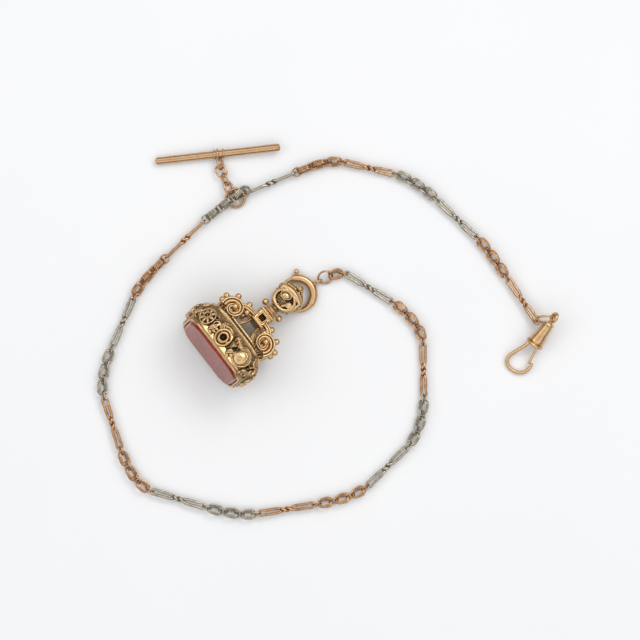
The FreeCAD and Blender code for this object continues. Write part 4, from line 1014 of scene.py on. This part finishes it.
# ------------------------------------------------------------------ fixed horn of the bolt ring, tapered, with a stepped root
CLASP = np.array([-6.38, 7.17, 1.25]) + SHIFT
ang = np.radians(np.linspace(-34.6, -149.5, 90))
path = CLASP + 4.54 * np.stack([np.cos(ang), np.sin(ang), np.zeros(90)], 1)
t = np.linspace(0, 1, 90)
rad = np.where(t < 0.05, 1.02, 0.98 - 0.50 * np.clip((t - 0.05) / 0.55, 0, 1) ** 0.8)
rad = rad * np.sqrt(np.clip(1 - np.clip((t - 0.985) / 0.015, 0, 0.98) ** 2, 0, 1))
rad[3:6] *= (0.94, 0.91, 0.95)
gr, hi = tube(path, rad, 36, False, None, (0, 0, 1.0))
co, fc, hh = capped(gr, hi)
P_ = Parts()
P_.add(co, fc, hh)
P_.piece("clasp_horn_tapered", YELLOW, "clasp", ("clasp_horn",), seal=False)

# ------------------------------------------------------------------ T-bar collars: two rings of beads round the bar
A = np.array([-45.64, 44.52, 1.12]) + SHIFT
B = np.array([-10.92, 48.44, 2.22]) + SHIFT
axis = unit(B - A)
mid = (A + B) / 2
a1 = unit(np.cross(axis, [0, 0, 1.0]))
a2 = np.cross(axis, a1)
P_ = Parts()
for off in (-1.25, 1.25):
    t = np.linspace(0, 2 * math.pi, 168, endpoint=False)
    c = mid + axis * off
    loop = c + 1.14 * (np.cos(t)[:, None] * a1 + np.sin(t)[:, None] * a2)
    rad = 0.205 + 0.085 * np.abs(np.cos(t * 7)) ** 0.7
    gr, hi = tube(loop, rad, 16, True)
    P_.add(gr.reshape(-1, 3), grid_faces(168, 16, True, True), (hi - 0.8 + 0.35 + 0.6 * np.abs(np.cos(t * 7))[:, None]).ravel())
P_.piece("t_bar_collars_beaded", BARGOLD, "bar", ("t_bar_collars",), seal=False)

LINK_BODY = 0.43


def closed_faces(g):
    """Faces of a closed tube; the last ring is joined to the first with the turn that keeps the quads straightest."""
    rows, cols, _ = g.shape
    cost = [np.linalg.norm(g[-1] - np.roll(g[0], -k, 0), axis=1).sum() for k in range(cols)]
    k = int(np.argmin(cost))
    faces = grid_faces(rows, cols)
    base_ = (rows - 1) * cols
    for j in range(cols):
        j2 = (j + 1) % cols
        faces.append((base_ + j, base_ + j2, (j2 + k) % cols, (j + k) % cols))
    return faces


# ------------------------------------------------------------------ long links: worn wire, thicker along the body than at the eyes
LINKS = [(7.05, 13.17, 1.5, 20.17, 5.03, 1.5, 18), (28.82, -6.52, 1.5, 29.07, -21.48, 1.5, 18), (24.45, -35.6, 1.5, 13.24, -46.6, 1.5, 18),
         (-1.51, -51.74, 1.5, -17.26, -54.26, 1.5, 18), (-32.28, -52.32, 1.5, -47.19, -47.9, 1.5, 18), (-55.91, -36.03, 1.5, -60.51, -21.81, 1.5, 18),
         (-58.22, -7.52, 1.5, -52.26, 6.24, 1.5, 18), (-43.13, 17.42, 1.55, -32.34, 27.8, 1.6, 85), (-20.62, 35.46, 1.95, -6.97, 41.19, 1.6, 85),
         (6.73, 44.15, 1.5, 20.85, 40.92, 1.5, 18), (32.95, 33.45, 1.5, 43.89, 23.1, 1.5, 18), (52.6, 11.51, 1.5, 61.02, -0.95, 2.2, 20)]


def link_path(h, step=0.12):
    """One closed run of wire: two rounded eyes, two straight sides and one full twist in the middle."""
    we, hw, tw, rh = 0.80, 0.65, 3.4, 0.43

    def half(sgn):
        pts = []
        for k in range(13):
            a = math.pi - k * math.pi / 24
            pts.append((-h + we + we * math.cos(a), sgn * we * math.sin(a), 0.0))
        pts += [(-h + we + 0.35, sgn * we, 0.0), (-h + we + 1.3, sgn * hw, 0.0), (-tw / 2 - 1.0, sgn * hw, 0.0)]
        for k in range(13):
            a = math.radians(30 * k)
            pts.append((-tw / 2 + tw * k / 12, sgn * rh * math.cos(a), sgn * rh * math.sin(a)))
        # one full twist ends on the side it started from
        back = [(-x, y, z) for x, y, z in pts[:16]][::-1]
        return pts + back

    a, b = half(1), half(-1)
    loop = np.array(a + b[::-1][1:-1])
    seg = np.linalg.norm(np.roll(loop, -1, 0) - loop, axis=1)
    at = np.concatenate([[0], np.cumsum(seg)])
    closed = np.vstack([loop, loop[:1]])
    n = int(at[-1] / step)
    q = np.linspace(0, at[-1], n, endpoint=False)
    out = np.stack([np.interp(q, at, closed[:, k]) for k in range(3)], 1)
    for _ in range(3):
        out = (np.roll(out, 1, 0) + 2 * out + np.roll(out, -1, 0)) / 4
    return out


for number, (ax_, ay_, az_, bx_, by_, bz2, roll) in enumerate(LINKS, 1):
    a, b = np.array([ax_, ay_, az_]) + SHIFT, np.array([bx_, by_, bz2]) + SHIFT
    mid_, h = (a + b) / 2, np.linalg.norm(b - a) / 2
    x_ = unit(b - a)
    y_ = unit(np.cross([0, 0, 1.0], x_))
    z_ = np.cross(x_, y_)
    c, s_ = math.cos(math.radians(roll)), math.sin(math.radians(roll))
    y2, z2 = y_ * c + z_ * s_, z_ * c - y_ * s_
    p = link_path(h)
    far = h - np.abs(p[:, 0])
    wave = 0.012 * np.sin(np.arange(len(p)) * 0.21 + number)
    rad = 0.345 + (LINK_BODY - 0.345) * np.clip((far - 1.15) / 1.1, 0, 1) ** 1.2 - np.abs(wave) * (far > 1.5)
    world_p = mid_ + p[:, 0:1] * x_ + p[:, 1:2] * y2 + p[:, 2:3] * z2
    gr, hi = tube(world_p, rad, 18, True)
    # parallel transport is closed by joining the last ring to the first with the turn that keeps the quads straightest
    n = len(p)
    P_ = Parts()
    P_.add(gr.reshape(-1, 3), closed_faces(gr), hi.ravel())
    label = "link_%02d" % number
    P_.piece("twisted_" + label, ROSE if number % 2 == 0 else WHITE, label, ("long_" + label,), seal=False)


# ------------------------------------------------------------------ finishes of the CAD pieces
FINISH = {"rose_gold": ROSE, "white_gold": WHITE, "yellow_gold": YELLOW, "antique_gold": ANTIQUE, "stone": STONE, "spring_steel": STEEL}
by_node = {p["node"]: p.get("material_slot") for p in frame["record"].get("subparts", [])}
for name, o in NODES.items():
    slot = by_node.get(name)
    mat = FINISH.get(slot, YELLOW)
    if name in ("t_bar", "t_bar_bail"):
        mat = BARGOLD
    if len(o.data.materials) == 0:
        o.data.materials.append(mat)
    for k in range(len(o.material_slots)):
        o.material_slots[k].link = "DATA"
        o.material_slots[k].material = mat

bpy.context.view_layer.update()
